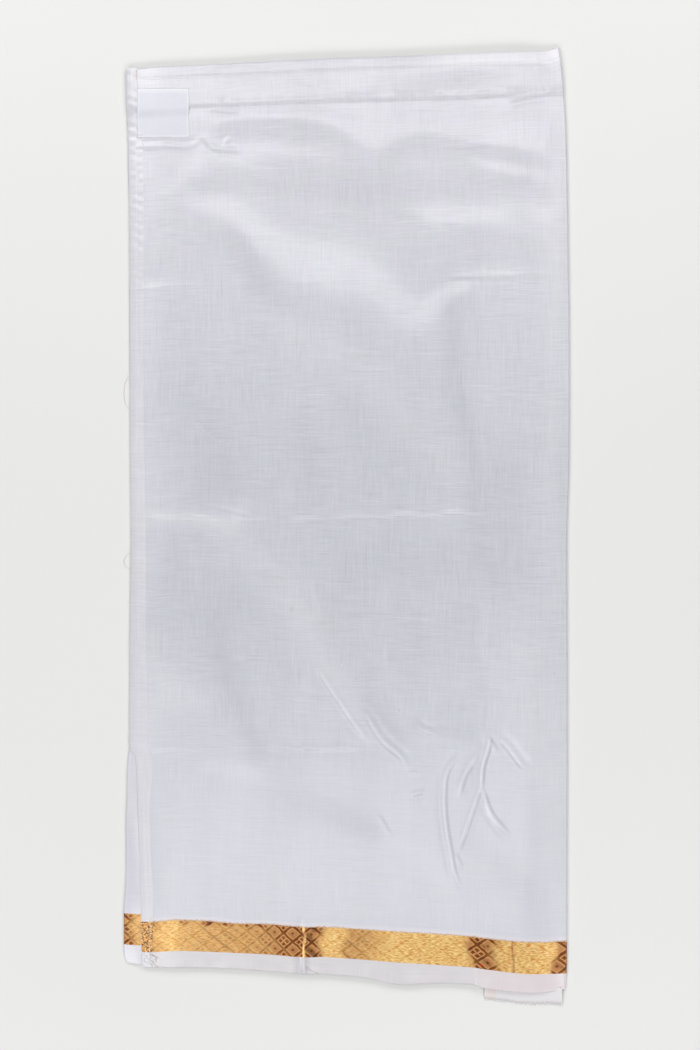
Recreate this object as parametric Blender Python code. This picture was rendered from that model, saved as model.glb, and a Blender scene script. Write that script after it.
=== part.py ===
"""Stitched silk dhoti, folded back and forth into a flat rectangle and laid on its underside.

The frame is +Z up, +Y from the foot of the cloth to its waistband and +X from the free end to
the long fold. The origin is on the underside, in the middle of the folded rectangle. Every
size below is in millimetres.
"""
import math
from bisect import bisect_right
from collections import namedtuple

import bmesh
import bpy

MM = 0.001

# The cloth
WALL = 1.2              # wall of one stretch of cloth
HEM_WALL = 1.0          # turned hem, and the label
SEAM = 0.3              # gap wherever two pieces meet
BAND_RISE = 0.9         # how far the sewn casing stands above the ground cloth
LIP = 6.0               # length of the long fold's turn that lies under the stack

# The stack of folds
STACK = 6.4             # from the underside to the top of the cloth
WAIST_BULK = 1.5        # extra height where the folded casings lie on each other
FOOT_THIN = 0.9         # height lost towards the foot, where the folds spread
INNER_STEP = 0.7        # one layer more, right of the cloth's inner end
INNER_X = 158.0         # where that inner end lies
INNER_SETTLE = 0.45     # gap from the folded layers up to the stretch that lies on them
FOLD_SETTLE = 0.7       # gap from the folded layers out to the long fold around them

# Places along the cloth, from waistband to foot
TOP_Y = 524.0
BAND_SEAM_Y = 475.0
ZARI_TOP_Y = -450.0
ZARI_FOOT_Y = -486.0
FOOT_Y = -505.0

# Pressed creases from the shop's folding
CREASE_YS = (273.0, 10.0, -250.0)
CREASE_X = -41.0
CREASE_FROM_Y = -190.0
CREASE_HEIGHT = 0.8
CREASE_HALF = 7.0
CREASE_END_X = 244.0

# The front stretch's outline: its free end on the left and its long fold on the right
Side = namedtuple("Side", "y free_end fold")
SIDES = (
    Side(-505.0, -231.2, 249.2),
    Side(-476.0, -231.8, 251.1),
    Side(-428.0, -232.2, 251.6),
    Side(-325.0, -236.8, 251.8),
    Side(-264.0, -240.4, 251.9),
    Side(-250.0, -246.2, 252.0),
    Side(-130.0, -244.9, 252.0),
    Side(-4.0, -243.5, 251.8),
    Side(77.0, -244.6, 254.1),
    Side(215.0, -245.4, 254.1),
    Side(354.0, -245.7, 252.2),
    Side(437.0, -246.3, 249.8),
    Side(493.0, -247.8, 246.4),
    Side(524.0, -247.8, 241.4),
)

# How the lines across the cloth run, each at its real place at this x
Across = namedtuple("Across", "x top band_seam zari_top zari_foot foot")
ACROSS = (
    Across(-248.0, 523.5, 478.6, -453.0, -488.8, -505.0),
    Across(-190.0, 524.6, 477.6, -449.2, -484.5, -503.3),
    Across(-105.0, 525.0, 476.0, -448.0, -482.7, -501.1),
    Across(-41.0, 525.0, 475.7, -449.3, -484.6, -503.3),
    Across(25.0, 524.3, 474.2, -448.1, -483.8, -501.8),
    Across(66.0, 522.5, 473.2, -448.0, -483.8, -507.8),
    Across(105.0, 521.3, 472.5, -449.5, -484.9, -504.5),
    Across(149.0, 520.3, 471.9, -452.3, -486.4, -504.9),
    Across(203.0, 519.8, 471.2, -454.6, -490.6, -510.0),
    Across(246.0, 524.3, 470.9, -453.5, -489.2, -505.9),
)
LINE_YS = {
    "top": TOP_Y,
    "band_seam": BAND_SEAM_Y,
    "zari_top": ZARI_TOP_Y,
    "zari_foot": ZARI_FOOT_Y,
    "foot": FOOT_Y,
}

# The side hem: its width from the free end
HemWidth = namedtuple("HemWidth", "y width")
HEM_WIDTHS = (
    HemWidth(-505.0, 12.6),
    HemWidth(-428.0, 14.8),
    HemWidth(-325.0, 14.4),
    HemWidth(-250.0, 20.0),
    HemWidth(-130.0, 17.6),
    HemWidth(10.0, 15.6),
    HemWidth(168.0, 14.6),
    HemWidth(440.0, 10.9),
    HemWidth(528.0, 10.9),
)
HEM_TOP_Y = 526.5

# The second stretch: its fold, which shows past the free end near the foot
SecondFold = namedtuple("SecondFold", "y fold")
SECOND_FOLDS = (
    SecondFold(-497.0, -254.3),
    SecondFold(-482.0, -252.9),
    SecondFold(-446.0, -252.9),
    SecondFold(-419.0, -251.2),
    SecondFold(-286.0, -248.9),
    SecondFold(-250.0, -247.2),
    SecondFold(-225.0, -244.6),
)
SECOND_TOP_Y = -240.0
SECOND_ZARI_TOP_Y = -445.0
SECOND_ZARI_FOOT_Y = -481.0
SECOND_FOOT_Y = -496.4
SECOND_INSIDE_X = -212.0
SECOND_DROOP = 0.8
SECOND_DROOP_WIDTH = 4.0

# The inner end's foot, which shows below the front stretch at the right
INNER_LEFT_X = 161.5
INNER_RIGHT_X = 246.2
INNER_FOOT_LEFT_Y = -526.1
INNER_FOOT_RIGHT_Y = -522.0
INNER_TUCK = 2.2        # how high its upper edge enters the stack
INNER_WAVE = 0.25
INNER_START = 1.5       # gap from the hidden folds' foot to its upper edge

# The label's corners
LABEL_LEFT_X = -235.2
LABEL_RIGHT_X = -173.2
LABEL_TOP_LEFT_Y = 503.4
LABEL_TOP_RIGHT_Y = 500.3
LABEL_FOOT_LEFT_Y = 446.5
LABEL_FOOT_RIGHT_Y = 443.8

# Edge of the hidden folds, from the floor to their top: how high each ring lies, as a share of
# the height there, and how far it stands out at the open edges. Three rounded lips.
Ring = namedtuple("Ring", "rise out fold_angle")
RINGS = (
    Ring(0.00, -1.1, None),
    Ring(0.09, 0.0, None),
    Ring(0.27, 0.0, -90.0),
    Ring(0.35, -1.5, -54.0),
    Ring(0.43, 0.3, -18.0),
    Ring(0.60, 0.3, 18.0),
    Ring(0.68, -1.3, 45.0),
    Ring(0.78, 0.2, 70.0),
    Ring(1.00, -0.5, 90.0),
)
EDGE_INSET = 1.6        # hidden folds' open edges, inside the front stretch's outline
FOOT_INSET = 3.4
EDGE_DROP = 0.8         # rounding of their upper edges


def smooth(start, end, at):
    """0 before start and 1 after end, with an eased rise between."""
    share = min(max((at - start) / (end - start), 0.0), 1.0)
    return share * share * (3.0 - 2.0 * share)


def lookup(rows, column, at):
    """A table's named column at a place along its first column, on a smooth curve."""
    keys = [row[0] for row in rows]
    values = [getattr(row, column) for row in rows]
    if at <= keys[0]:
        return values[0]
    if at >= keys[-1]:
        return values[-1]
    k = bisect_right(keys, at) - 1
    slopes = []
    for i in (k, k + 1):
        before = max(i - 1, 0)
        after = min(i + 1, len(keys) - 1)
        slopes.append((values[after] - values[before]) / (keys[after] - keys[before]))
    span = keys[k + 1] - keys[k]
    t = (at - keys[k]) / span
    return (
        (1 + 2 * t) * (1 - t) ** 2 * values[k]
        + t * (1 - t) ** 2 * span * slopes[0]
        + t * t * (3 - 2 * t) * values[k + 1]
        + t * t * (t - 1) * span * slopes[1]
    )


def place_y(x, y):
    """Where the line that is nominally at y really runs at this x."""
    names = list(LINE_YS)
    for upper, lower in zip(names, names[1:]):
        if y >= LINE_YS[lower] or lower == names[-1]:
            break
    drift_up = lookup(ACROSS, upper, x) - LINE_YS[upper]
    drift_low = lookup(ACROSS, lower, x) - LINE_YS[lower]
    share = (y - LINE_YS[lower]) / (LINE_YS[upper] - LINE_YS[lower])
    share = min(max(share, 0.0), 1.0)
    return y + drift_low + (drift_up - drift_low) * share


def stack_height(x, y):
    """Top of the cloth above the underside, without the pressed creases."""
    height = STACK
    height += WAIST_BULK * smooth(435.0, 500.0, y)
    height += INNER_STEP * smooth(INNER_X - 4.0, INNER_X + 4.0, x)
    height -= FOOT_THIN * smooth(-430.0, -505.0, y)
    height += 0.45 * math.cos((x + 0.55 * y - 40.0) / 62.0)
    height += 0.35 * math.cos((y - 1.1 * x + 90.0) / 74.0)
    height += 0.30 * math.cos((x - 215.0) / 40.0) * smooth(-520.0, -360.0, y)
    return height


def crease(x, y):
    """Pressed creases, standing up from the stack as soft uneven ridges."""
    ridge = 0.0
    for line_y, phase in zip(CREASE_YS, (0.0, 1.9, 4.1)):
        near = max(0.0, 1.0 - abs(y - line_y) / CREASE_HALF)
        ridge += near * CREASE_HEIGHT * (0.62 + 0.38 * math.sin(x / 58.0 + phase))
    near = max(0.0, 1.0 - abs(x - CREASE_X) / CREASE_HALF)
    ridge += near * CREASE_HEIGHT * smooth(CREASE_FROM_Y, CREASE_FROM_Y - 60.0, y)
    return ridge * (1.0 - smooth(CREASE_END_X - 25.0, CREASE_END_X, x))


def surface(x, y):
    """Top of the front stretch's ground cloth."""
    return stack_height(x, y) + crease(x, y)


def free_end(y):
    return lookup(SIDES, "free_end", y)


def fold_radius(y):
    """Outer radius of the long fold, which turns from the top down to the underside."""
    return stack_height(lookup(SIDES, "fold", y) - STACK / 2, y) / 2


def fold_centre(y):
    return lookup(SIDES, "fold", y) - fold_radius(y)


# Where the front stretch has its lines of points, as shares of the way from the free end to the
# long fold: closer at the side hem, at the pressed crease and at the inner end's step.
FLAT_SHARES = (
    0.0, 0.030, 0.080, 0.140, 0.200, 0.260, 0.320, 0.370, 0.401, 0.4145, 0.428, 0.470, 0.530,
    0.590, 0.650, 0.710, 0.765, 0.806, 0.818, 0.830, 0.870, 0.915, 0.960, 1.0,
)
FOLD_STEPS = 7


def section(y, rise):
    """Outer points across the front stretch at one height, round the long fold and under."""
    left = free_end(y)
    centre = fold_centre(y)
    radius = fold_radius(y)
    points = []
    for share in FLAT_SHARES:
        x = left + (centre - left) * share
        points.append((x, place_y(x, y), surface(x, y) + rise))
    lift = radius + rise / 2
    for step in range(1, FOLD_STEPS + 1):
        angle = math.pi * step / FOLD_STEPS
        x = centre + lift * math.sin(angle)
        points.append((x, place_y(centre, y), lift + lift * math.cos(angle)))
    points.append((centre - LIP, place_y(centre, y), 0.0))
    return points


def rows_between(upper, lower, spacing):
    """Rows from upper to lower, evenly spaced, with three rows at each pressed crease."""
    count = max(1, math.ceil((upper - lower) / spacing))
    rows = [upper + (lower - upper) * i / count for i in range(count + 1)]
    for line_y in CREASE_YS:
        if lower < line_y < upper:
            rows = [y for y in rows if abs(y - line_y) > CREASE_HALF * 1.6]
            rows += [line_y - CREASE_HALF, line_y, line_y + CREASE_HALF]
    return sorted(rows, reverse=True)


def material(name, colour, roughness, metallic):
    mat = bpy.data.materials.get(name) or bpy.data.materials.new(name)
    mat.use_nodes = True
    shader = mat.node_tree.nodes["Principled BSDF"]
    shader.inputs["Base Color"].default_value = (*colour, 1.0)
    shader.inputs["Roughness"].default_value = roughness
    shader.inputs["Metallic"].default_value = metallic
    return mat


def silk():
    return material("white_silk", (0.64, 0.65, 0.71), 0.55, 0.0)


def zari():
    return material("gold_zari", (0.72, 0.44, 0.15), 0.38, 0.35)


def label_satin():
    return material("label_satin", (0.72, 0.73, 0.80), 0.45, 0.0)


def add_object(name, bm, finish):
    mesh = bpy.data.meshes.new(name)
    bm.to_mesh(mesh)
    bm.free()
    mesh.materials.append(finish)
    mesh.shade_smooth()
    obj = bpy.data.objects.new(name, mesh)
    bpy.context.scene.collection.objects.link(obj)
    return obj


def add_cloth(name, rows, wall, finish):
    """A wall of cloth: rows of outer points from foot to waist, given its thickness inward."""
    bm = bmesh.new()
    grid = [[bm.verts.new((x * MM, y * MM, z * MM)) for x, y, z in row] for row in rows]
    for lower, upper in zip(grid, grid[1:]):
        for i in range(len(lower) - 1):
            bm.faces.new((lower[i], lower[i + 1], upper[i + 1], upper[i]))
    obj = add_object(name, bm, finish)
    thicken = obj.modifiers.new("wall", "SOLIDIFY")
    thicken.thickness = wall * MM
    thicken.offset = -1.0
    thicken.use_even_offset = True
    thicken.use_quality_normals = True
    return obj


def seamed(ys):
    """The rows of one band, drawn in by half a seam at either end. They come waist first."""
    ys = list(ys)
    ys[0] -= SEAM / 2
    ys[-1] += SEAM / 2
    return ys


def add_front_band(name, ys, rise, finish):
    rows = [section(y, rise(y)) for y in reversed(seamed(ys))]
    return add_cloth(name, rows, WALL + rise(ys[-1]), finish)


def make_waistband():
    """The casing: the top of the cloth turned over, its folded edge rounded off."""
    ys = [TOP_Y, TOP_Y - 2.5, 512.0, 500.0, 488.0, BAND_SEAM_Y]

    def rise(y):
        return BAND_RISE - 0.8 * smooth(TOP_Y - 5.0, TOP_Y, y)

    return add_front_band("waistband", ys, rise, silk())


def make_front_panel():
    ys = [BAND_SEAM_Y, 460.0, 445.0] + rows_between(425.0, ZARI_TOP_Y, 33.0)
    return add_front_band("front_panel", ys, lambda y: 0.0, silk())


def make_zari_border():
    ys = [ZARI_TOP_Y, (ZARI_TOP_Y + ZARI_FOOT_Y) / 2, ZARI_FOOT_Y]
    return add_front_band("zari_border", ys, lambda y: 0.0, zari())


def make_selvedge():
    ys = [ZARI_FOOT_Y, (ZARI_FOOT_Y + FOOT_Y) / 2, FOOT_Y]
    return add_front_band("selvedge", ys, lambda y: 0.0, silk())


def band_rise_under(y):
    """How far the casing lifts what lies across it, reached just below its sewn edge."""
    return BAND_RISE * smooth(BAND_SEAM_Y - 14.0, BAND_SEAM_Y - 2.0, y)


def make_side_hem():
    """The free end, turned twice and sewn: a strip that lies on the front stretch's edge."""
    bands = (
        ("side_hem", silk(),
         [HEM_TOP_Y, 512.0, 500.0, 488.0, 475.0, 467.0, 460.0, 445.0]
         + rows_between(425.0, ZARI_TOP_Y, 33.0)),
        ("side_hem_zari", zari(), [ZARI_TOP_Y, -468.0, ZARI_FOOT_Y]),
        ("side_hem_foot", silk(), [ZARI_FOOT_Y, -495.0, FOOT_Y]),
    )
    for name, finish, ys in bands:
        rows = []
        for y in reversed(seamed(ys)):
            left = free_end(y)
            width = lookup(HEM_WIDTHS, "width", y)
            row = []
            for share, soft in ((0.0, 0.25), (0.18, 0.0), (0.82, 0.0), (1.0, 0.2)):
                x = left + width * share
                base = surface(x, y) + band_rise_under(y)
                row.append((x, place_y(x, y), base + SEAM + HEM_WALL - soft))
            rows.append(row)
        add_cloth(name, rows, HEM_WALL - 0.25, finish)


def make_label():
    """The woven label, sewn on across the waistband's seam, made from the cloth's points."""
    shares = (0.0, 0.1, 0.3, 0.45, 0.55, 0.65, 0.8, 1.0)
    rows = []
    for down in reversed(shares):
        row = []
        for across in (0.0, 0.2, 0.4, 0.6, 0.8, 1.0):
            x = LABEL_LEFT_X + (LABEL_RIGHT_X - LABEL_LEFT_X) * across
            top = LABEL_TOP_LEFT_Y + (LABEL_TOP_RIGHT_Y - LABEL_TOP_LEFT_Y) * across
            foot = LABEL_FOOT_LEFT_Y + (LABEL_FOOT_RIGHT_Y - LABEL_FOOT_LEFT_Y) * across
            y = top + (foot - top) * down
            rise = band_rise_under(y) + SEAM + HEM_WALL
            row.append((x, y, surface(x, y) + rise))
        rows.append(row)
    add_cloth("label", rows, HEM_WALL, label_satin())


def second_top(x, y):
    """Top of the second stretch, which lies under the front one and droops at its fold."""
    from_fold = x - lookup(SECOND_FOLDS, "fold", y)
    droop = SECOND_DROOP * (1.0 - smooth(0.0, SECOND_DROOP_WIDTH, from_fold))
    return stack_height(x, y) - WALL - SEAM - droop


def make_second_stretch():
    """The next fold of the cloth, out past the free end near the foot."""
    bands = (
        ("second_stretch", silk(),
         [SECOND_TOP_Y, -257.0, -286.0, -320.0, -353.0, -386.0, -419.0, SECOND_ZARI_TOP_Y]),
        ("second_zari", zari(), [SECOND_ZARI_TOP_Y, -463.0, SECOND_ZARI_FOOT_Y]),
        ("second_selvedge", silk(), [SECOND_ZARI_FOOT_Y, SECOND_FOOT_Y]),
    )
    for name, finish, ys in bands:
        rows = []
        for y in reversed(seamed(ys)):
            fold = lookup(SECOND_FOLDS, "fold", y)
            inside = SECOND_INSIDE_X
            xs = (fold, fold + 1.5, fold + SECOND_DROOP_WIDTH, (fold + inside) / 2, inside)
            rows.append([(x, y, second_top(x, y)) for x in xs])
        add_cloth(name, rows, WALL, finish)


def hidden_foot(x):
    """The hidden folds' open edge at the foot."""
    return place_y(x, FOOT_Y) + FOOT_INSET


def make_inner_end():
    """The cloth's other end, whose foot comes out below the front stretch and settles."""
    shares = (0.0, 0.03, 0.16, 0.33, 0.5, 0.67, 0.84, 1.0)
    rows = []
    for down in (1.0, 0.72, 0.45, 0.2, 0.0):
        row = []
        for across in shares:
            x = INNER_LEFT_X + (INNER_RIGHT_X - INNER_LEFT_X) * across
            start = hidden_foot(x) - INNER_START
            end = INNER_FOOT_LEFT_Y + (INNER_FOOT_RIGHT_Y - INNER_FOOT_LEFT_Y) * across
            lift = INNER_TUCK * (1.0 - down * down)
            lift += INNER_WAVE * (1.0 - math.cos(across * 4.0 * math.pi)) * down * (1.0 - down)
            row.append((x, start + (end - start) * down, lift + WALL))
        rows.append(row)
    add_cloth("inner_end", rows, WALL, silk())


HIDDEN_SHARES = (
    0.0, 0.030, 0.060, 0.095, 0.150, 0.225, 0.300, 0.375, 0.450, 0.525, 0.600, 0.675, 0.750,
    0.812, 0.836, 0.890, 0.950, 1.0,
)
HIDDEN_ROWS = (
    521.6, 512.0, 500.0, 488.0, 475.0, 460.0, 445.0, 400.0, 355.0, 310.0, 265.0, 220.0, 175.0, 130.0,
    85.0, 40.0, -4.0, -50.0, -95.0, -140.0, -190.0, -234.0, -262.0, -290.0, -330.0, -370.0,
    -410.0, -445.0, -475.0, FOOT_Y + FOOT_INSET,
)


def hidden_left(y):
    """The hidden folds' open edge on the left: the second stretch's near the foot."""
    under_front = free_end(y) + EDGE_INSET
    if y > SECOND_TOP_Y + 6.0:
        return under_front
    return lookup(SECOND_FOLDS, "fold", y) + EDGE_INSET


def hidden_top(x, y, share):
    """Top of the hidden folds, under the stretch that lies on them."""
    top = stack_height(x, y) - WALL - INNER_SETTLE
    under_second = y < SECOND_TOP_Y + 10.0 and share < 0.1
    if under_second:
        top -= WALL + SEAM
    if y < SECOND_FOOT_Y and share < 0.1:
        top -= SEAM
    return top


def make_folded_layers():
    """All other folds as one solid: a cap that carries the cloth, and an edge of three lips.

    Under the long fold its edge is round instead, one cloth's wall inside the fold.
    """
    last = len(HIDDEN_SHARES) - 1
    cap = []
    for y in HIDDEN_ROWS:
        left = hidden_left(y)
        right = fold_centre(y)
        row = []
        for share in HIDDEN_SHARES:
            x = left + (right - left) * share
            row.append([x, place_y(x, y), hidden_top(x, y, share)])
        cap.append(row)

    def around():
        """Row and column of each edge point, anticlockwise from the foot's left end."""
        foot = len(HIDDEN_ROWS) - 1
        loop = [(foot, i) for i in range(last)]
        loop += [(r, last) for r in range(foot, 0, -1)]
        loop += [(0, i) for i in range(last, 0, -1)]
        loop += [(r, 0) for r in range(0, foot)]
        return loop

    def edge_point(r, i, ring):
        """One ring's point below an edge point of the cap."""
        x, y, top = cap[r][i]
        nominal_y = HIDDEN_ROWS[r]
        side_y = {0: 1.0, len(HIDDEN_ROWS) - 1: -1.0}.get(r, 0.0)
        wander = 0.35 * math.sin(x / 37.0 + y / 53.0 + ring.rise * 9.0)
        y += side_y * (ring.out + wander)
        if i != last:
            if i == 0:
                x -= ring.out + wander
            return x, y, (top - EDGE_DROP) * ring.rise
        rise = BAND_RISE if nominal_y >= BAND_SEAM_Y else 0.0
        lift = fold_radius(nominal_y) + rise / 2
        inner = lift - WALL - rise - FOLD_SETTLE
        if ring.fold_angle is None:
            return x - LIP - FOLD_SETTLE, y, 0.0 if ring.rise == 0.0 else lift - inner
        angle = math.radians(ring.fold_angle)
        return x + inner * math.cos(angle), y, lift + inner * math.sin(angle)

    bm = bmesh.new()
    loop = around()
    rings = []
    for ring in RINGS:
        points = [edge_point(r, i, ring) for r, i in loop]
        rings.append([bm.verts.new((x * MM, y * MM, z * MM)) for x, y, z in points])
    top_edge = dict(zip(loop, rings[-1]))
    verts = {}
    for r, row in enumerate(cap):
        for i, (x, y, z) in enumerate(row):
            verts[r, i] = top_edge.get((r, i)) or bm.verts.new((x * MM, y * MM, z * MM))
    for r in range(len(cap) - 1):
        for i in range(last):
            bm.faces.new((verts[r + 1, i], verts[r + 1, i + 1], verts[r, i + 1], verts[r, i]))
    for lower, upper in zip(rings, rings[1:]):
        for k in range(len(loop)):
            after = (k + 1) % len(loop)
            bm.faces.new((lower[k], lower[after], upper[after], upper[k]))
    bm.faces.new(list(reversed(rings[0])))
    add_object("folded_layers", bm, silk())


def main():
    for obj in list(bpy.data.objects):
        bpy.data.objects.remove(obj, do_unlink=True)
    make_waistband()
    make_front_panel()
    make_zari_border()
    make_selvedge()
    make_side_hem()
    make_label()
    make_second_stretch()
    make_inner_end()
    make_folded_layers()


main()
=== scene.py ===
"""Stitched silk dhoti, folded flat: the looks of its pieces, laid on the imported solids.

Sizes are in millimetres in the part's own frame, +Y towards the waistband, +X towards the long
fold and +Z up. Meshes are written in metres.
"""
import math
from collections import namedtuple

import bpy
import numpy as np
from mathutils import Matrix, Vector


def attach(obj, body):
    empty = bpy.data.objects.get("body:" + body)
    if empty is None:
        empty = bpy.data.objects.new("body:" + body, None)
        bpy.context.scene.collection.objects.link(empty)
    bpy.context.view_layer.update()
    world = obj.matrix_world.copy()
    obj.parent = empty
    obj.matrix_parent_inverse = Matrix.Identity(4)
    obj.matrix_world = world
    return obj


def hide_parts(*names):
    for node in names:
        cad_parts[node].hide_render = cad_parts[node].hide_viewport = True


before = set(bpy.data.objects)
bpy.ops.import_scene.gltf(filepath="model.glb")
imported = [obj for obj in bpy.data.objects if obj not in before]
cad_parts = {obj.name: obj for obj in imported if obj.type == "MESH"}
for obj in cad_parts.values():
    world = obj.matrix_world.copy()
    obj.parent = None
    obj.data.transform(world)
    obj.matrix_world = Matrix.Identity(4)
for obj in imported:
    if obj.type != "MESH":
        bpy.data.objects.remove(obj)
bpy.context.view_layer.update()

MM = 0.001


# ---------------------------------------------------------------- Table, camera and studio light
# The table is a sheet of white board. Softboxes hang over its four corners and at its left, with
# two wide ones high past the waistband and past the foot, and white walls fill in the rest.

class Value:
    """A number that varies over a surface. A sum or product of such numbers adds Math nodes."""

    def __init__(self, finish, socket):
        self.finish = finish
        self.socket = socket

    def math(self, operation, *terms):
        return self.finish.node("ShaderNodeMath", {"operation": operation}, terms)

    def __add__(self, other):
        return self.math("ADD", self, other)

    __radd__ = __add__

    def __sub__(self, other):
        return self.math("SUBTRACT", self, other)

    def __rsub__(self, other):
        return self.math("SUBTRACT", other, self)

    def __mul__(self, other):
        return self.math("MULTIPLY", self, other)

    __rmul__ = __mul__

    def __truediv__(self, other):
        return self.math("DIVIDE", self, other)

    def floor(self):
        return self.math("FLOOR", self)

    def fraction(self):
        return self.math("FRACT", self)

    def magnitude(self):
        return self.math("ABSOLUTE", self)

    def larger(self, other):
        return self.math("MAXIMUM", self, other)

    def smaller(self, other):
        return self.math("MINIMUM", self, other)

    def eased(self, start, end, low=0.0, high=1.0):
        """low before start and high after end, with an eased rise between."""
        return self.finish.node(
            "ShaderNodeMapRange",
            {"interpolation_type": "SMOOTHSTEP"},
            {"Value": self, "From Min": start, "From Max": end, "To Min": low, "To Max": high},
        )


class Finish:
    """One material, built up node by node on a Principled shader."""

    def __init__(self, name, **constants):
        self.material = bpy.data.materials.new(name)
        self.material.use_nodes = True
        self.nodes = self.material.node_tree.nodes
        self.links = self.material.node_tree.links
        self.shader = self.nodes["Principled BSDF"]
        for label, setting in constants.items():
            self.shader.inputs[label.replace("_", " ")].default_value = setting

    def node(self, kind, settings=None, inputs=(), output=0):
        """A node of this kind, with its settings and the values or links of its sockets."""
        made = self.nodes.new(kind)
        for label, setting in (settings or {}).items():
            setattr(made, label, setting)
        pairs = inputs.items() if isinstance(inputs, dict) else enumerate(inputs)
        for label, given in pairs:
            self.feed(made.inputs[label], given)
        return Value(self, made.outputs[output])

    def feed(self, socket, given):
        if isinstance(given, Value):
            self.links.new(given.socket, socket)
        else:
            socket.default_value = given

    def surface(self, label, given):
        """Feeds one of the shader's own sockets."""
        self.feed(self.shader.inputs[label], given)

    def parts(self, vector):
        """The three numbers of a vector."""
        first = self.node("ShaderNodeSeparateXYZ", inputs=(vector,))
        return [Value(self, out) for out in first.socket.node.outputs]

    def place(self):
        """Where a point lies, in millimetres."""
        found = self.node("ShaderNodeTexCoord", output="Object")
        return [number * 1000.0 for number in self.parts(found)]

    def woven(self):
        """How far a point is across and along its own cloth, in millimetres."""
        found = self.node("ShaderNodeUVMap", {"uv_map": "weave"})
        across, along, _ = self.parts(found)
        return across * 1000.0, along * 1000.0

    def tagged(self, name):
        """A number that the mesh carries at each of its points."""
        return self.node("ShaderNodeAttribute", {"attribute_name": name}, output="Fac")

    def noise(self, x, y, seed=0.0, detail=1.0, roughness=0.5):
        """Soft noise, 0 to 1, whose spots are about one unit of x and y across."""
        where = self.node("ShaderNodeCombineXYZ", inputs=(x, y, seed))
        return self.node(
            "ShaderNodeTexNoise",
            inputs={"Vector": where, "Scale": 1.0, "Detail": detail, "Roughness": roughness},
        )

    def blend(self, share, first, second):
        """A colour between two others."""
        colours = {0: share, 6: first, 7: second}
        return self.node("ShaderNodeMix", {"data_type": "RGBA"}, colours, output=2)

    def over(self, share, colour):
        """Lays another colour over the surface's own."""
        below = Value(self, self.shader.inputs["Base Color"].links[0].from_socket)
        self.surface("Base Color", self.blend(share, below, colour))

    def bump(self, height, relief):
        """Relief in the shading, from a height that is worth so many millimetres."""
        sockets = {"Height": height, "Distance": relief * MM}
        self.surface("Normal", self.node("ShaderNodeBump", inputs=sockets, output="Normal"))


def paint(red, green, blue):
    """A screen colour, 0 to 255, as the light it stands for."""
    shares = [c / 255.0 for c in (red, green, blue)]
    light = [s / 12.92 if s <= 0.04045 else ((s + 0.055) / 1.055) ** 2.4 for s in shares]
    return (*light, 1.0)


def new_object(name, data):
    """A new object in the scene, at the origin."""
    made = bpy.data.objects.new(name, data)
    bpy.context.scene.collection.objects.link(made)
    return made


def mesh_object(name, points, faces, finish):
    """A smooth mesh in one finish, from points in millimetres."""
    mesh = bpy.data.meshes.new(name)
    mesh.from_pydata((np.asarray(points, float) * MM).tolist(), [], faces)
    mesh.materials.append(finish.material)
    mesh.shade_smooth()
    return new_object(name, mesh)


TABLE_SIDE = 9000.0
TABLE_DROP = 0.3

board = Finish("white_board", Roughness=0.85)
x, y, _ = board.place()
grain = board.noise(x / 1.8, y / 1.8, detail=2.0)
clouds = board.noise(x / 420.0, y / 420.0, seed=3.0)
mottle = clouds * 0.7 + grain * 0.3
board.surface("Base Color", board.blend(mottle, paint(229, 229, 227), paint(233, 233, 232)))
board.bump(grain, 0.06)

half, low = TABLE_SIDE / 2, -TABLE_DROP
corners = [(-half, -half, low), (half, -half, low), (half, half, low), (-half, half, low)]
table = mesh_object("table", corners, [(0, 1, 2, 3)], board)

# It looks almost straight down, swung a little about the cloth's long axis
LENS = 50.0
SENSOR = 36.0
NEAREST_SEEN = 50.0
CAMERA_SWING = math.radians(9.5)
CAMERA_FROM = 1637.3
AIM_X, AIM_Y = 10.6, 1.75

camera_data = bpy.data.cameras.new("camera")
camera_data.lens = LENS
camera_data.sensor_width = SENSOR
camera_data.clip_start = NEAREST_SEEN * MM
camera = new_object("camera", camera_data)
camera.location = (
    (AIM_X + CAMERA_FROM * math.sin(CAMERA_SWING)) * MM,
    AIM_Y * MM,
    CAMERA_FROM * math.cos(CAMERA_SWING) * MM,
)
camera.rotation_euler = (0.0, CAMERA_SWING, 0.0)
bpy.context.scene.camera = camera

# Where each softbox hangs, its size, the point on the table that it faces, and its strength
Softbox = namedtuple("Softbox", "name x y z width depth aim_x aim_y watts")
SOFTBOXES = (
    Softbox("foot_left", -1050.0, -1350.0, 1250.0, 1000.0, 800.0, 0.0, -150.0, 13.4),
    Softbox("foot_right", 1070.0, -1350.0, 1250.0, 1000.0, 800.0, 0.0, -150.0, 15.9),
    Softbox("waist_left", -1000.0, 1300.0, 1150.0, 1000.0, 800.0, 0.0, 150.0, 12.9),
    Softbox("waist_right", 1020.0, 1300.0, 1150.0, 1000.0, 800.0, 0.0, 150.0, 14.4),
    Softbox("overhead_left", -1550.0, -100.0, 2400.0, 800.0, 1600.0, -300.0, 0.0, 4.0),
    Softbox("waist_sheen", -600.0, 1634.0, 4000.0, 4800.0, 340.0, 0.0, 470.0, 33.2),
    Softbox("foot_sheen", -800.0, -1350.0, 4000.0, 2100.0, 700.0, -120.0, -390.0, 12.0),
)
for box in SOFTBOXES:
    lamp = bpy.data.lights.new(box.name, "AREA")
    lamp.shape = "RECTANGLE"
    lamp.size = box.width * MM
    lamp.size_y = box.depth * MM
    lamp.energy = box.watts
    holder = new_object(box.name, lamp)
    holder.location = (box.x * MM, box.y * MM, box.z * MM)
    away = (holder.location - Vector((box.aim_x * MM, box.aim_y * MM, 0.0))).normalized()
    level = Vector((0.0, 1.0, 0.0)).cross(away).normalized()
    holder.rotation_euler = Matrix((level, away.cross(level), away)).transposed().to_euler()

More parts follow.
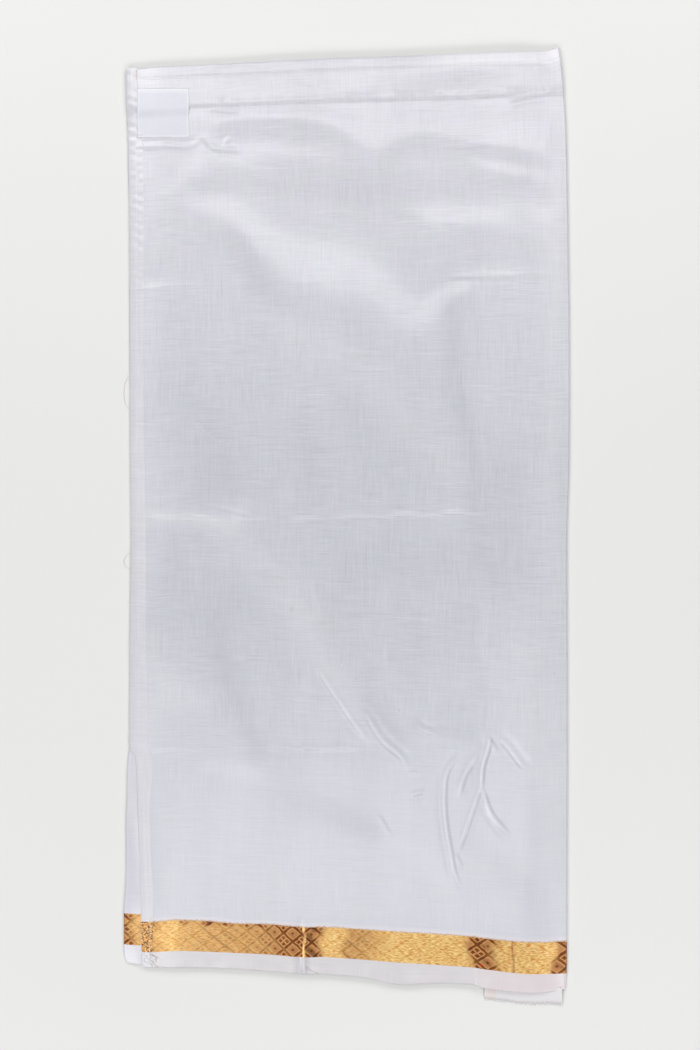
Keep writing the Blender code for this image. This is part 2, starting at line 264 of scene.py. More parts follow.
ROOM_LIGHT = 0.045
ROOM_COLOUR = (1.0, 0.995, 0.985, 1.0)
room = bpy.data.worlds.new("room")
room.use_nodes = True
walls = room.node_tree.nodes["Background"]
walls.inputs["Color"].default_value = ROOM_COLOUR
walls.inputs["Strength"].default_value = ROOM_LIGHT
bpy.context.scene.world = room
bpy.context.scene.view_settings.view_transform = "Standard"


# ---------------------------------------------------------------- Ground cloth
# The uppermost fold of the white art silk, from the waistband's seam down to the gold border. It
# is woven in slubby yarn, pressed in a shop fold and then laid down, so it has creases and folds.
# Down the right it turns under in one long fold.

# Where its free end and its long fold lie, and where its lines across really run
Side = namedtuple("Side", "y free_end fold")
SIDES = (
    Side(-505.0, -231.2, 250.0),
    Side(-476.0, -231.8, 251.4),
    Side(-428.0, -232.2, 251.2),
    Side(-325.0, -236.0, 251.5),
    Side(-264.0, -239.0, 251.7),
    Side(-250.0, -246.0, 251.8),
    Side(-130.0, -245.3, 251.6),
    Side(-4.0, -244.3, 251.4),
    Side(77.0, -245.2, 253.6),
    Side(215.0, -245.7, 253.9),
    Side(354.0, -246.4, 252.2),
    Side(437.0, -247.8, 250.4),
    Side(493.0, -249.7, 246.9),
    Side(524.0, -250.3, 242.7),
)
Across = namedtuple("Across", "x top band_seam zari_top zari_foot foot")
ACROSS = (
    Across(-248.0, 525.0, 477.0, -453.0, -488.8, -505.0),
    Across(-218.0, 525.5, 476.5, -452.6, -487.6, -504.6),
    Across(-190.0, 525.6, 476.0, -449.4, -484.6, -503.3),
    Across(-150.0, 525.2, 475.2, -448.9, -483.6, -501.9),
    Across(-120.0, 525.0, 474.7, -450.2, -483.4, -501.4),
    Across(-80.0, 525.0, 474.3, -449.2, -483.4, -502.4),
    Across(-41.0, 525.0, 474.1, -450.7, -484.6, -503.6),
    Across(-18.0, 524.8, 473.5, -449.4, -483.0, -502.8),
    Across(25.0, 524.3, 472.6, -450.1, -483.8, -503.8),
    Across(66.0, 523.2, 471.6, -451.1, -485.1, -509.8),
    Across(105.0, 522.4, 470.9, -451.5, -485.6, -506.0),
    Across(149.0, 521.9, 470.3, -452.4, -486.4, -505.2),
    Across(160.0, 521.6, 470.2, -453.6, -487.4, -508.4),
    Across(203.0, 520.9, 469.6, -455.6, -490.5, -511.5),
    Across(230.0, 521.2, 469.4, -455.0, -489.8, -509.6),
    Across(246.0, 527.4, 469.3, -454.0, -489.2, -507.0),
)
TOP_Y = 524.0
BAND_SEAM_Y = 475.0
ZARI_TOP_Y = -450.0
ZARI_FOOT_Y = -486.0
FOOT_Y = -505.0
LINE_YS = {
    "top": TOP_Y,
    "band_seam": BAND_SEAM_Y,
    "zari_top": ZARI_TOP_Y,
    "zari_foot": ZARI_FOOT_Y,
    "foot": FOOT_Y,
}

# How thick the folds lie in all, and how that settles towards each edge
STACK = 6.4
WAIST_BULK = 0.4
FOOT_THIN = 0.9
INNER_STEP = 0.7
OPEN_EDGE_SETTLE = 2.4
THIN_EDGE_SETTLE = 4.7
OPEN_EDGE_REACH = 44.0
FOLD_SETTLE = 4.5
FOLD_REACH = 48.0


def smooth(start, end, at):
    """0 before start and 1 after end, with an eased rise between."""
    share = np.clip((at - start) / (end - start), 0.0, 1.0)
    return share * share * (3.0 - 2.0 * share)


def fade(offset, reach, power=2):
    """1 where the offset is 0, dying away on both sides within the reach."""
    return np.exp(-np.abs(offset / reach) ** power)


def curve_at(points, at):
    """The value at some places of a smooth curve through points (place, value)."""
    keys, values = np.array(points, float).T
    after = np.minimum(np.arange(len(keys)) + 1, len(keys) - 1)
    before = np.maximum(np.arange(len(keys)) - 1, 0)
    slopes = (values[after] - values[before]) / (keys[after] - keys[before])
    at = np.clip(at, keys[0], keys[-1])
    k = np.clip(np.searchsorted(keys, at, side="right") - 1, 0, len(keys) - 2)
    span = keys[k + 1] - keys[k]
    t = (at - keys[k]) / span
    return (
        (1 + 2 * t) * (1 - t) ** 2 * values[k]
        + t * (1 - t) ** 2 * span * slopes[k]
        + t * t * (3 - 2 * t) * values[k + 1]
        + t * t * (t - 1) * span * slopes[k + 1]
    )


def lookup(rows, column, at):
    """A table's named column at places along its first column, on a smooth curve."""
    return curve_at([(row[0], getattr(row, column)) for row in rows], at)


def place_y(x, y):
    """Where the line that is nominally at y really runs at this x."""
    x, y = np.broadcast_arrays(x, y)
    names = list(LINE_YS)
    drifts = {name: lookup(ACROSS, name, x) - LINE_YS[name] for name in names}
    moved = y + drifts["foot"]
    for upper, lower in zip(names, names[1:]):
        share = np.clip((y - LINE_YS[lower]) / (LINE_YS[upper] - LINE_YS[lower]), 0.0, 1.0)
        here = y + drifts[lower] + (drifts[upper] - drifts[lower]) * share
        moved = np.where((y >= LINE_YS[lower]) & (y <= LINE_YS[upper]), here, moved)
    return np.where(y > TOP_Y, y + drifts["top"], moved)


def free_end(y):
    """Where the free end lies, at the left."""
    return lookup(SIDES, "free_end", y)


def stack_top(x, y):
    """Top of the folded stack without creases. It settles towards its edges."""
    height = STACK + WAIST_BULK * smooth(435.0, 500.0, y)
    settle = OPEN_EDGE_SETTLE + (THIN_EDGE_SETTLE - OPEN_EDGE_SETTLE) * smooth(-290.0, -225.0, y)
    height = height - settle * np.clip(1.0 - (x - free_end(y)) / OPEN_EDGE_REACH, 0.0, 1.0) ** 2
    beside = np.clip(1.0 - (lookup(SIDES, "fold", y) - x - 2.0) / FOLD_REACH, 0.0, 1.0)
    height = height - FOLD_SETTLE * beside ** 2
    height = height - FOOT_THIN * smooth(-430.0, -505.0, y)
    swell = 0.30 * np.cos((x - 215.0) / 40.0) * smooth(-520.0, -360.0, y)
    return height + swell


def fold_radius(y):
    """Radius of the long fold, which turns from the top down to the underside."""
    return (stack_top(lookup(SIDES, "fold", y), y) + INNER_STEP) / 2


def fold_centre(y):
    """The middle of the long fold's turn."""
    return lookup(SIDES, "fold", y) - fold_radius(y)


def curve_through(points, steps=8):
    """Points along a smooth curve through a few given ones."""
    given = np.array(points, float)
    if len(given) == 2:
        return given
    ends = np.vstack([2 * given[0] - given[1], given, 2 * given[-1] - given[-2]])
    path = [given[0]]
    for i in range(1, len(given)):
        p0, p1, p2, p3 = ends[i - 1:i + 3]
        for step in range(1, steps + 1):
            t = step / steps
            path.append(
                0.5 * (2 * p1 + (p2 - p0) * t + (2 * p0 - 5 * p1 + 4 * p2 - p3) * t * t
                       + (3 * p1 - 3 * p2 + p3 - p0) * t ** 3)
            )
    return np.array(path)


def nearest(path, x, y):
    """Distance from points to a path, which side they are on, and how far along they lie."""
    best = np.full(x.shape, 1e9)
    side = np.zeros(x.shape)
    along = np.zeros(x.shape)
    lengths = np.hypot(*(path[1:] - path[:-1]).T)
    run = 0.0
    total = lengths.sum()
    for a, b, length in zip(path, path[1:], lengths):
        ux, uy = (b - a) / length
        dx, dy = x - a[0], y - a[1]
        t = np.clip(dx * ux + dy * uy, 0.0, length)
        away = np.hypot(dx - ux * t, dy - uy * t)
        closer = away < best
        best = np.where(closer, away, best)
        side = np.where(closer, np.sign(ux * dy - uy * dx), side)
        along = np.where(closer, (run + t) / total, along)
        run += length
    return best, side, along


# Sharp wrinkles: a narrow ridge along a path, with a hollow beside it, on the path's left where
# the hollow is above 0. The silk is painted lighter along the ridge, a painted highlight, and
# painted darker on its shaded side, a painted shade: 1 is the path's left, -1 its right, and 0
# leaves the silk as it is
Wrinkle = namedtuple("Wrinkle", "path width height hollow shaded")
WRINKLES = (
    # Two long ones that run down to the right
    Wrinkle(((-27, -153), (-15.5, -174), (8.3, -208.6), (18.5, -223), (34, -241)),
            2.6, 0.85, -0.5, -1),
    Wrinkle(((25, -203), (32, -214), (47.9, -237.8), (69.2, -256.2), (76, -269)),
            2.8, 0.9, 0.5, -1),
    Wrinkle(((84.9, -216.9), (94.9, -225.6), (110.5, -229.6)), 2.4, 0.6, 0.4, -1),
    # A crow's foot below the end of the inner layer
    Wrinkle(((166, -229), (165.8, -242.6), (159.2, -265.9), (158.1, -292)), 2.6, 1.0, -0.4, 1),
    Wrinkle(((158.6, -284), (148.2, -312.6), (131.6, -361.7)), 2.4, 0.8, 0.5, 1),
    Wrinkle(((158.1, -286), (169.1, -316.3), (191, -342)), 2.4, 0.85, -0.5, 1),
    Wrinkle(((165.8, -232.7), (175.6, -249.0)), 2.2, 0.6, 0.3, 1),
    Wrinkle(((176, -231), (187.7, -242.1), (200.8, -259.3), (211, -268)), 2.8, 0.95, 0.5, -1),
    Wrinkle(((156, -247), (139.3, -275.3), (132.7, -300)), 2.8, 0.7, 0.5, 1),
    Wrinkle(
        ((134, -249), (120.5, -271.4), (117.2, -292.5), (118.3, -324.6), (124.9, -364.2),
         (129.4, -385.0), (142, -412)),
        2.4, 0.8, -0.5, 1,
    ),
    Wrinkle(((129.4, -362), (137.1, -378)), 2.0, 0.5, 0.3, 1),
    # Short ones about the lower middle
    Wrinkle(((78.2, -273.7), (87, -273.5)), 1.8, 0.4, 0.2, -1),
    Wrinkle(((80, -298.5), (95.5, -293)), 2.2, 0.5, -0.3, -1),
    Wrinkle(((43.4, -321), (57, -345)), 2.0, 0.45, 0.3, 1),
    # Faint ones in the upper left and the middle
    Wrinkle(((-178, 134), (-153.1, 106.3), (-123.9, 90.2), (-111, 84)), 2.4, 0.45, 0.2, 1),
    Wrinkle(((-108, -94), (-98.3, -106.8), (-77, -108)), 2.2, 0.4, 0.2, 1),
    Wrinkle(((-148, 23.5), (-125, 20), (-96, 12)), 3.0, 0.55, -0.3, -1),
    # Below the label, where its stitches draw the cloth
    Wrinkle(((-244, 435.8), (-205, 435.4), (-172, 434), (-159.5, 444)), 2.0, 0.6, 0.6, 0),
    Wrinkle(((-158.5, 445.5), (-148, 431.5), (-135.5, 428), (-112, 426)), 2.1, 0.55, -0.5, 0),
    Wrinkle(((-135.5, 430.5), (-126.5, 442.3)), 1.8, 0.45, 0.4, 0),
    # Puckers below the waistband's seam and beside its right end
    Wrinkle(((-154, 474), (-140, 472.4), (-126, 470.4), (-110, 471)), 1.5, 0.35, -0.5, 0),
    Wrinkle(((186, 466), (205, 470.5), (230, 473)), 2.2, 0.5, -0.5, 0),
    # A thread's width of slack in the selvedge, beside the long crease
    Wrinkle(((-40, -492.5), (-33, -496.5), (-24, -501.5)), 1.5, 0.5, -0.6, 0),
)

# Pressed creases across the cloth: each a sharp line of points (x, y), points (x, height) that
# say how it stands, and how far its ridge reaches above and below
Press = namedtuple("Press", "line stands above below")
PRESS_ACROSS = (
    Press(((-248, 271), (-189, 273), (0, 273.5), (160, 274.5), (250, 275)),
          ((-250, 0.60), (-222, 0.60), (-200, 0.42), (-160, 0.10), (-60, 0.04), (120, 0.04),
           (154, 0.45), (205, 0.40), (235, 0.2)), 5.5, 1.3),
    Press(((-248, 11.5), (-112, 9.5), (30, 12.5), (146, 15.5), (250, 14)),
          ((-250, 0.55), (-224, 0.7), (-165, 0.8), (-130, 0.55), (-60, 0.5), (20, 0.6), (60, 0.9),
           (150, 1.0), (165, 0.15), (250, 0.08)), 2.6, 2.0),
    Press(((-248, -254), (-41, -248), (10, -247.5), (250, -246)),
          ((-250, 0.1), (-190, 0.15), (-170, 0.05), (-45, 0.06), (-38, 0.5), (8, 0.35),
           (20, 0.04), (250, 0.04)), 2.2, 2.2),
)
PRESS_HALF = 2.2
PRESS_DOWN_X = -40.5
PRESS_DOWN_FROM = -190.0

# The edge of the cloth's inner end, which prints through, as points (y, x): right of it lies one
# layer more
INNER_EDGE = (
    (-505.0, 152.5), (-486.0, 152.5), (-450.0, 158.5), (-330.0, 160.0), (-235.0, 165.8),
    (-200.8, 165.8), (-162.2, 168.0), (-135.9, 159.7), (0.6, 152.6), (27.1, 159.2), (77.7, 161.4),
    (151.6, 153.7), (274.9, 161.4), (392.7, 161.4), (470.0, 160.0),
)

# Broad folds: soft strokes from left to right, each point (x, y, lean, above, below). The cloth
# leans there towards the waistband, by a fall in millimetres over 100, or away if negative. The
# stroke fades out at so many millimetres above and below.
LEANS = (
    # The sweep across the upper middle, with a sharp lower edge
    ((-171, 370, 3, 6, 7), (-144, 364, 5, 9, 8), (-115, 355, 6, 12, 11), (-84, 326, 7, 18, 19),
     (-48, 298, 7.8, 32, 32), (0, 287, 8, 38, 36), (40, 270, 8.5, 29, 27), (68, 245, 9.5, 25, 32),
     (87, 232, 10.5, 20, 25), (110, 251, 9.5, 16, 20), (139, 268, 8.5, 9, 8)),
    # Bright folds under the waistband and at the right
    ((99, 346, 4, 11, 10), (146, 343, 4.8, 12, 9), (170, 342, 3, 10, 9), (188, 342, 1, 9, 9)),
    ((222, 342, 1, 6, 6), (232, 341, 3, 7, 7), (245, 341, 3, 7, 7)),
    ((-194, 384, 2, 8, 8), (-175, 408, 3, 9, 9), (-155, 426, 3, 7, 7), (-130, 424, 2, 6, 8),
     (-114, 420, 1, 6, 6)),
    ((-161, 472, 3, 9, 9), (-45, 468, 3.5, 9, 8), (0, 462, 3, 11, 11), (68, 459, 2.2, 11, 14),
     (146, 455, 2.2, 12, 16), (223, 452, 2.5, 12, 16)),
    ((6, 455, 2, 11, 11), (30, 443, 4, 16, 14), (41, 424, 3, 11, 8)),
    ((137, 412, 3.5, 5, 5), (164, 400, 5, 5, 5), (186, 394, 5, 5, 5), (201, 389, 3, 5, 5)),
    # Dark lobes between them
    ((58, 494, -3, 14, 12), (105, 493, -7, 15, 12), (150, 493, -8, 14, 12), (176, 492, -5, 12, 12),
     (196, 492, -1, 12, 12)),
    ((-138, 450, -5, 7, 9), (-103, 455, -9, 7, 18), (-45, 452, -9, 7, 22), (-5, 438, -7.5, 9, 17),
     (14, 420, -4, 9, 12)),
    ((52, 415, -5, 8, 14), (74, 425, -8, 9, 18), (102, 428, -9, 9, 23), (129, 419, -7.5, 9, 18),
     (179, 406, -4, 7, 14), (223, 395, -2, 9, 16)),
    ((150, 418, -4, 5, 7), (165, 413, -9, 6, 6), (188, 411, -10, 6, 6), (206, 405, -9, 7, 7),
     (222, 401, -6, 8, 9), (236, 398, -3, 8, 9)),
    ((148, 388, -3, 7, 9), (175, 380, -5, 7, 9), (205, 376, -8, 8, 14), (226, 366, -6, 10, 14)),
    ((-164, 388, -4, 9, 9), (-132, 393, -5, 14, 11), (-89, 387, -4, 14, 14)),
    ((-86, 414, -4, 7, 9), (-45, 406, -3.5, 11, 14), (12, 399, -3, 16, 16)),
    ((-68, 388, -4, 20, 20), (12, 381, -4, 20, 20), (80, 382, -5.5, 22, 18),
     (110, 380, -5, 22, 18), (179, 372, -3.5, 18, 16)),
    ((118, 321, -3, 9, 18), (168, 315, -4.5, 14, 23), (217, 310, -3, 11, 23)),
    ((-144, 340, -3, 7, 18), (-112, 322, -4.5, 7, 23), (-82, 275, -4, 7, 18),
     (-45, 246, -3, 7, 14), (12, 233, -3, 7, 14), (51, 208, -2.5, 7, 16)),
    ((140, 248, -3, 10, 25), (179, 236, -2, 14, 23)),
    # The lower half, where the folds are wider
    ((-171, -68, 3, 14, 16), (-152, -129, 5, 11, 18), (-133, -186, 5, 10, 20),
     (-103, -250, 4, 9, 18)),
    ((-230, -159, -5, 25, 29), (-190, -186, -5.5, 23, 27), (-166, -198, -4, 16, 16)),
    ((-110, -128, -2.5, 11, 11), (-78, -196, -3, 14, 14), (-57, -240, -2.5, 11, 11)),
    ((-147, -270, -4, 9, 11), (-98, -282, -4, 9, 10)),
    ((-61, -72, -3.5, 9, 11), (-25, -138, -4, 8, 11), (12, -211, -3.5, 8, 9)),
    ((37, -182, 4, 11, 11), (59, -218, 5, 14, 11), (79, -250, 3.5, 11, 11)),
    ((79, -193, 3, 14, 11), (124, -205, 3.5, 16, 11), (146, -213, 3, 14, 11)),
    ((68, -360, -4, 11, 11), (96, -378, -4, 11, 11), (117, -402, -3, 9, 9)),
    ((-40, -307, 3.5, 14, 16), (6, -323, 4, 16, 18), (51, -344, 3, 14, 14)),
    ((157, -356, 3.5, 16, 16), (201, -388, 3.5, 18, 18)),
    ((157, -125, -2, 16, 16), (212, -179, -2, 23, 23)),
)
LEAN_GRID = 4.0
LEAN_HALF_X, LEAN_HALF_Y = 512.0, 768.0
LEAN_REACH = 120.0
LEAN_SIDEWAYS = 0.25


def beside_stroke(stroke, x, y, steps=8):
    """Distance from points to a stroke, which side they are on, and its own numbers there."""
    path = curve_through(stroke, steps)
    run = np.concatenate([[0.0], np.cumsum(np.hypot(*(path[1:, :2] - path[:-1, :2]).T))])
    away, side, along = nearest(path[:, :2], x, y)
    return away, side, [np.interp(along, run / run[-1], numbers) for numbers in path.T[2:]]


def settle_leans():
    """Heights of a sheet that leans as the strokes say, on an even grid about the cloth."""
    xs = np.arange(-LEAN_HALF_X, LEAN_HALF_X, LEAN_GRID)
    ys = np.arange(-LEAN_HALF_Y, LEAN_HALF_Y, LEAN_GRID)
    gx, gy = np.meshgrid(xs, ys)
    lean = np.zeros(gx.shape)
    for stroke in LEANS:
        away, side, (steep, above, below) = beside_stroke(stroke, gx, gy)
        lean += steep / 100.0 * fade(away, np.where(side > 0, above, below), 3)
    kx = np.fft.fftfreq(len(xs), LEAN_GRID) * 2 * np.pi
    ky = np.fft.fftfreq(len(ys), LEAN_GRID) * 2 * np.pi
    kx, ky = np.meshgrid(kx, ky)
    stiff = ky ** 2 + LEAN_SIDEWAYS * kx ** 2 + LEAN_REACH ** -2
    return xs, ys, np.real(np.fft.ifft2(1j * ky * np.fft.fft2(lean) / stiff))


lean_xs, lean_ys, lean_heights = settle_leans()


def lean_height(x, y):
    """The settled sheet's height at any place, by a smooth patch between the grid's points."""
    fx = (x - lean_xs[0]) / LEAN_GRID
    fy = (y - lean_ys[0]) / LEAN_GRID
    i, j = np.floor(fx).astype(int), np.floor(fy).astype(int)
    tx, ty = fx - i, fy - j

    def weights(t):
        return (
            (1 - t) ** 3 / 6,
            (3 * t ** 3 - 6 * t * t + 4) / 6,
            (-3 * t ** 3 + 3 * t * t + 3 * t + 1) / 6,
            t ** 3 / 6,
        )

    total = np.zeros(np.shape(fx))
    for dy, wy in zip((-1, 0, 1, 2), weights(ty)):
        for dx, wx in zip((-1, 0, 1, 2), weights(tx)):
            total = total + wy * wx * lean_heights[j + dy, i + dx]
    return total


INNER_PRINT = 0.10


def inner_layer(x, y):
    """How much of the inner end's extra layer lies under a place, 0 to 1."""
    edge = curve_at(INNER_EDGE, y)
    reach = 11.0 - 8.5 * smooth(-474.0, -488.0, y)
    return smooth(edge - reach, edge + reach, x)


def inner_print(x, y):
    """Height of the thin line that the inner end's edge presses through the cloth."""
    away = x - curve_at(INNER_EDGE, y)
    line = INNER_PRINT * (0.7 + 0.5 * np.sin(y / 37.0)) * smooth(-260.0, -225.0, y)
    return line * fade(away, 1.6)


def press_ridge(press, x, y, gain):
    """How far above a pressed crease points lie, and how tall it stands at their x."""
    tall = np.interp(x, *zip(*press.stands)) * (gain + 0.25 * np.sin(x / 9.0))
    return y - (np.interp(x, *zip(*press.line)) + 0.6 * np.sin(x / 17.0)), tall


def pressed(x, y):
    """Height of the pressed creases."""
    height = np.zeros(np.shape(x))
    for press in PRESS_ACROSS:
        away, tall = press_ridge(press, x, y, 1.0)
        reach = np.where(away > 0, press.above, press.below)
        height += tall * fade(away, reach, 1.5)
        height -= 0.25 * tall * fade(away + 2.5 * press.below, 3.0)

    # The long crease down the cloth is faint over the ground and sharp over the gold
    line_x = PRESS_DOWN_X + 1.0 * np.sin(y / 38.0) + 0.5 * np.sin(y / 5.0)
    tall = 0.16 * smooth(PRESS_DOWN_FROM, PRESS_DOWN_FROM - 60.0, y)
    height += tall * fade(x - line_x, PRESS_HALF, 1.5)
    tall = 0.9 * smooth(-436.0, -456.0, y) + 0.5 * smooth(-484.0, -488.0, y)
    height += tall * fade(x - line_x, 1.3, 1.5)
    height -= 0.6 * tall * fade(x - line_x + 6.0, 4.0)
    return height


def tapered(share):
    """A wrinkle's share of its height, which dies away towards both its ends."""
    return smooth(0.0, 0.25, share + 0.03) * smooth(0.0, 0.3, 1.03 - share)


def wrinkled(x, y):
    """Height of the sharp wrinkles."""
    height = np.zeros(np.shape(x))
    for wrinkle in WRINKLES:
        path = curve_through(wrinkle.path)
        reach = wrinkle.width * 5
        low_corner, high_corner = path.min(axis=0) - reach, path.max(axis=0) + reach
        near = (x > low_corner[0]) & (x < high_corner[0])
        near &= (y > low_corner[1]) & (y < high_corner[1])
        if not near.any():
            continue
        away, side, share = nearest(path, x[near], y[near])
        ridge = fade(away, wrinkle.width)
        offset = away * side * np.sign(wrinkle.hollow) - 2.2 * wrinkle.width
        hollow = abs(wrinkle.hollow) * fade(offset, 1.3 * wrinkle.width)
        height[near] += wrinkle.height * tapered(share) * (ridge - hollow)
    return height


def painted_ridge_light_and_shade(x, y):
    """Painted highlights along the silk's wrinkles and creases, above 0, and painted shade, below
    0.
    """
    # The line that the inner end's edge presses through is painted lighter too
    painted_ridge_shading = 0.225 * inner_print(x, y) / INNER_PRINT * smooth(-240.0, -200.0, y)
    for press in PRESS_ACROSS:
        away, tall = press_ridge(press, x, y, 0.8)
        painted_ridge_shading += 0.65 * tall * fade(away, 1.6, 1.5)
        painted_ridge_shading -= 0.25 * tall * fade(away + 3.4, 1.8)
    for wrinkle in WRINKLES:
        away, side, share = nearest(curve_through(wrinkle.path), x, y)
        beside = away * side * wrinkle.shaded - 1.15 * wrinkle.width
        painted_lighter = fade(away, 0.8 * wrinkle.width)
        painted_darker = fade(beside, 0.65 * wrinkle.width)
        tint = wrinkle.height * abs(wrinkle.shaded) * tapered(share)
        painted_ridge_shading += tint * (0.8 * painted_lighter - 0.9 * painted_darker)
    return painted_ridge_shading


def cloth_top(x, y):
    """Top of the front stretch's ground cloth."""
    x, y = np.broadcast_arrays(np.asarray(x, float), np.asarray(y, float))
    calm = 1.0 - smooth(226.0, 246.0, x)
    height = stack_top(x, y) + INNER_STEP * inner_layer(x, y)
    creases = pressed(x, y) + inner_print(x, y) + wrinkled(x, y)
    return height + calm * (creases + lean_height(x, y))


def spaced(start, end, count, crowds):
    """Places from start to end, closer together at the crowds, each (place, spread, gain)."""
    fine = np.linspace(start, end, 4000)
    density = np.ones(fine.shape)
    for place, spread, gain in crowds:
        density += gain * fade(fine - place, spread)
    run = np.concatenate([[0.0], np.cumsum((density[1:] + density[:-1]) / 2)])
    return np.interp(np.linspace(0.0, run[-1], count), run, fine)


# The mesh's columns crowd together at the creases, and its edges turn down as points (x, z) say
COLUMN_CROWDS = ((158.0, 14.0, 1.2), (-40.5, 5.0, 4.0), (-246.0, 16.0, 1.0), (246.0, 14.0, 1.0),
                 (110.0, 90.0, 0.6))
COLUMN_COUNT = 286
COLUMN_HALF = 246.0
FOLD_STEPS = 12
LIP = 6.0
EDGE_TURN = ((1.6, -1.1), (0.5, -1.0), (0.0, -0.55))
columns = spaced(-COLUMN_HALF, COLUMN_HALF, COLUMN_COUNT, COLUMN_CROWDS)
columns = (columns + COLUMN_HALF) / (2 * COLUMN_HALF)


def laid_rows(x, y, z, start, ys):
    """Points of rows, and their places in the weave, which runs on over each row from a start."""
    run = np.cumsum(np.hypot(np.diff(x, axis=1), np.diff(z, axis=1)), axis=1)
    run = np.hstack([0.0 * ys, run]) + start
    return np.stack([x, y, z], axis=-1), np.stack([run, ys + 0.0 * run], axis=-1)


def front_rows(ys, rise=lambda x, y: 0.0):
    """Points and weave places of the front stretch, row by row from foot to waist.

    Each row starts under the free end, runs over the top, round the long fold and under. A
    row's rise above the ground cloth goes by its nominal y.
    """
    ys = np.asarray(ys, float)[:, None]
    left, centre, radius = free_end(ys), fold_centre(ys), fold_radius(ys)
    xs = left + (centre - left) * columns
    lines = place_y(xs, ys)
    tops = cloth_top(xs, lines) + rise(xs, ys)
    inward, drop = np.array(EDGE_TURN).T
    angles = math.pi * np.arange(1, FOLD_STEPS + 1) / FOLD_STEPS
    side = tops[:, -1:] / 2
    under = FOLD_STEPS + 1
    x = np.hstack([left + inward, xs, centre + radius * np.sin(angles), centre - LIP])
    y = np.hstack([lines[:, :1].repeat(len(drop), 1), lines, lines[:, -1:].repeat(under, 1)])
    z = np.hstack([tops[:, :1] + drop, tops, side + side * np.cos(angles), 0.0 * side])
    return laid_rows(x, y, z, left, ys)


def numbered(shape, first=0):
    """Rows of the numbers that points get in a mesh."""
    return first + np.arange(math.prod(shape)).reshape(shape)


def quads(index):
    """The faces between rows of points, from the points' numbers."""
    corners = [index[:-1, :-1], index[:-1, 1:], index[1:, 1:], index[1:, :-1]]
    return np.stack(corners, axis=-1).reshape(-1, 4)


def sheet_object(name, points, places, finish, wall=0.0):
    """A cloth from rows of points. Rows run towards the waist and columns towards the fold."""
    faces = quads(numbered(points.shape[:2]))
    obj = mesh_object(name, points.reshape(-1, 3), faces.tolist(), finish)
    uv = obj.data.uv_layers.new(name="weave")
    uv.data.foreach_set("uv", (places.reshape(-1, 2) * MM)[faces.reshape(-1)].ravel())
    if wall:
        thick = obj.modifiers.new("wall", "SOLIDIFY")
        thick.thickness = wall * MM
        thick.offset = -1.0
    return obj


def tag(obj, name, numbers):
    """Gives each point of a mesh a number that its material reads."""
    layer = obj.data.attributes.new(name, "FLOAT", "POINT")
    layer.data.foreach_set("value", np.ravel(numbers))


def lay(piece, stands_for, flat):
    """Attaches cloth to the root and hides the solid it stands for; its cut, flat, is not used."""
    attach(piece, "root")
    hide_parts(stands_for)


# Small marks in the yarn, dark or light
Speck = namedtuple("Speck", "x y width length shade")
SPECKS = (
    Speck(-52.2, -92.8, 2.2, 3.4, -0.30),
    Speck(21.9, -169.2, 1.3, 1.5, -0.30),
    Speck(241.0, -155.5, 1.3, 1.5, -0.35),
    Speck(70.3, -202.8, 1.2, 1.4, -0.25),
    Speck(4.9, -154.9, 1.5, 1.5, 0.30),
)
THREAD_BAR = 1.05


def spot(x, y, outer, inner):
    """1 in the middle of a round spot and 0 outside it, by squares of the distance."""
    return (x * x + y * y).eased(outer, inner)


def silk(name, dark, light, specks=(), roughness=0.19):
    """White art silk: slubby bars both ways, a cool sheen, and a thread's fine relief."""
    cloth = Finish(name, Roughness=roughness, Specular_IOR_Level=0.5, Sheen_Weight=0.1,
                   Sheen_Roughness=0.4)
    across, along = cloth.woven()

    def bars(run, thread, seed):
        """Short bars along one set of threads, a few threads of which stand out."""
        row = (thread / THREAD_BAR).floor()
        even = cloth.noise(run / 26.0, row * 3.7, seed=seed) - 0.5
        thick = cloth.noise(run / 60.0, row * 5.3, seed=seed + 2.0)
        return even + thick.eased(0.60, 0.74, 0.0, 0.30) - thick.eased(0.40, 0.27, 0.0, 0.30)

    weft = bars(across, along, 1.0)
    warp = bars(along, across, 7.0)
    patch = cloth.noise(across / 60.0, along / 45.0, seed=11.0)
    _, y, _ = cloth.place()
    weave = weft * patch.eased(0.30, 0.70, 0.55, 1.15) + warp * patch.eased(0.70, 0.30, 0.35, 0.95)
    weave = weave * y.eased(-330.0, -130.0, 0.5, 1.0)
    shade = weave * 1.15 + 0.5
    for speck in specks:
        off_x, off_y = (across - speck.x) / speck.width, (along - speck.y) / speck.length
        shade = shade + spot(off_x, off_y, 1.0, 0.35) * (speck.shade * 6.0)
    tint = cloth.noise(across / 30.0, along / 30.0, seed=31.0, detail=3.0, roughness=0.6)
    dense = cloth.noise(across / 48.0, along / 170.0, seed=41.0, detail=2.0)
    shade = shade + (dense - 0.5) * 0.55
    ground = cloth.blend(shade, paint(*dark), paint(*light))
    # Random tint; paler over more layers, with painted light by the hem, at the left and the fold
    for share, first, second in (
        (tint.eased(0.38, 0.62), (0.997, 1.0, 0.996, 1.0), (1.004, 0.990, 1.004, 1.0)),
        (cloth.tagged("backing_and_painted_light"), (1.0, 1.0, 1.0, 1.0), (1.06, 1.055, 1.05, 1.0)),
    ):
        veil = cloth.blend(share, first, second)
        ground = cloth.node("ShaderNodeVectorMath", {"operation": "MULTIPLY"}, (ground, veil))
    cloth.surface("Base Color", ground)
    cloth.surface("Roughness", weave * 0.05 + roughness)
    threads = cloth.noise(across / 6.0, along / 0.55, seed=21.0)
    threads = threads + cloth.noise(across / 0.55, along / 6.0, seed=23.0)
    cloth.bump(weave + threads * 0.5, 0.03)
    return cloth
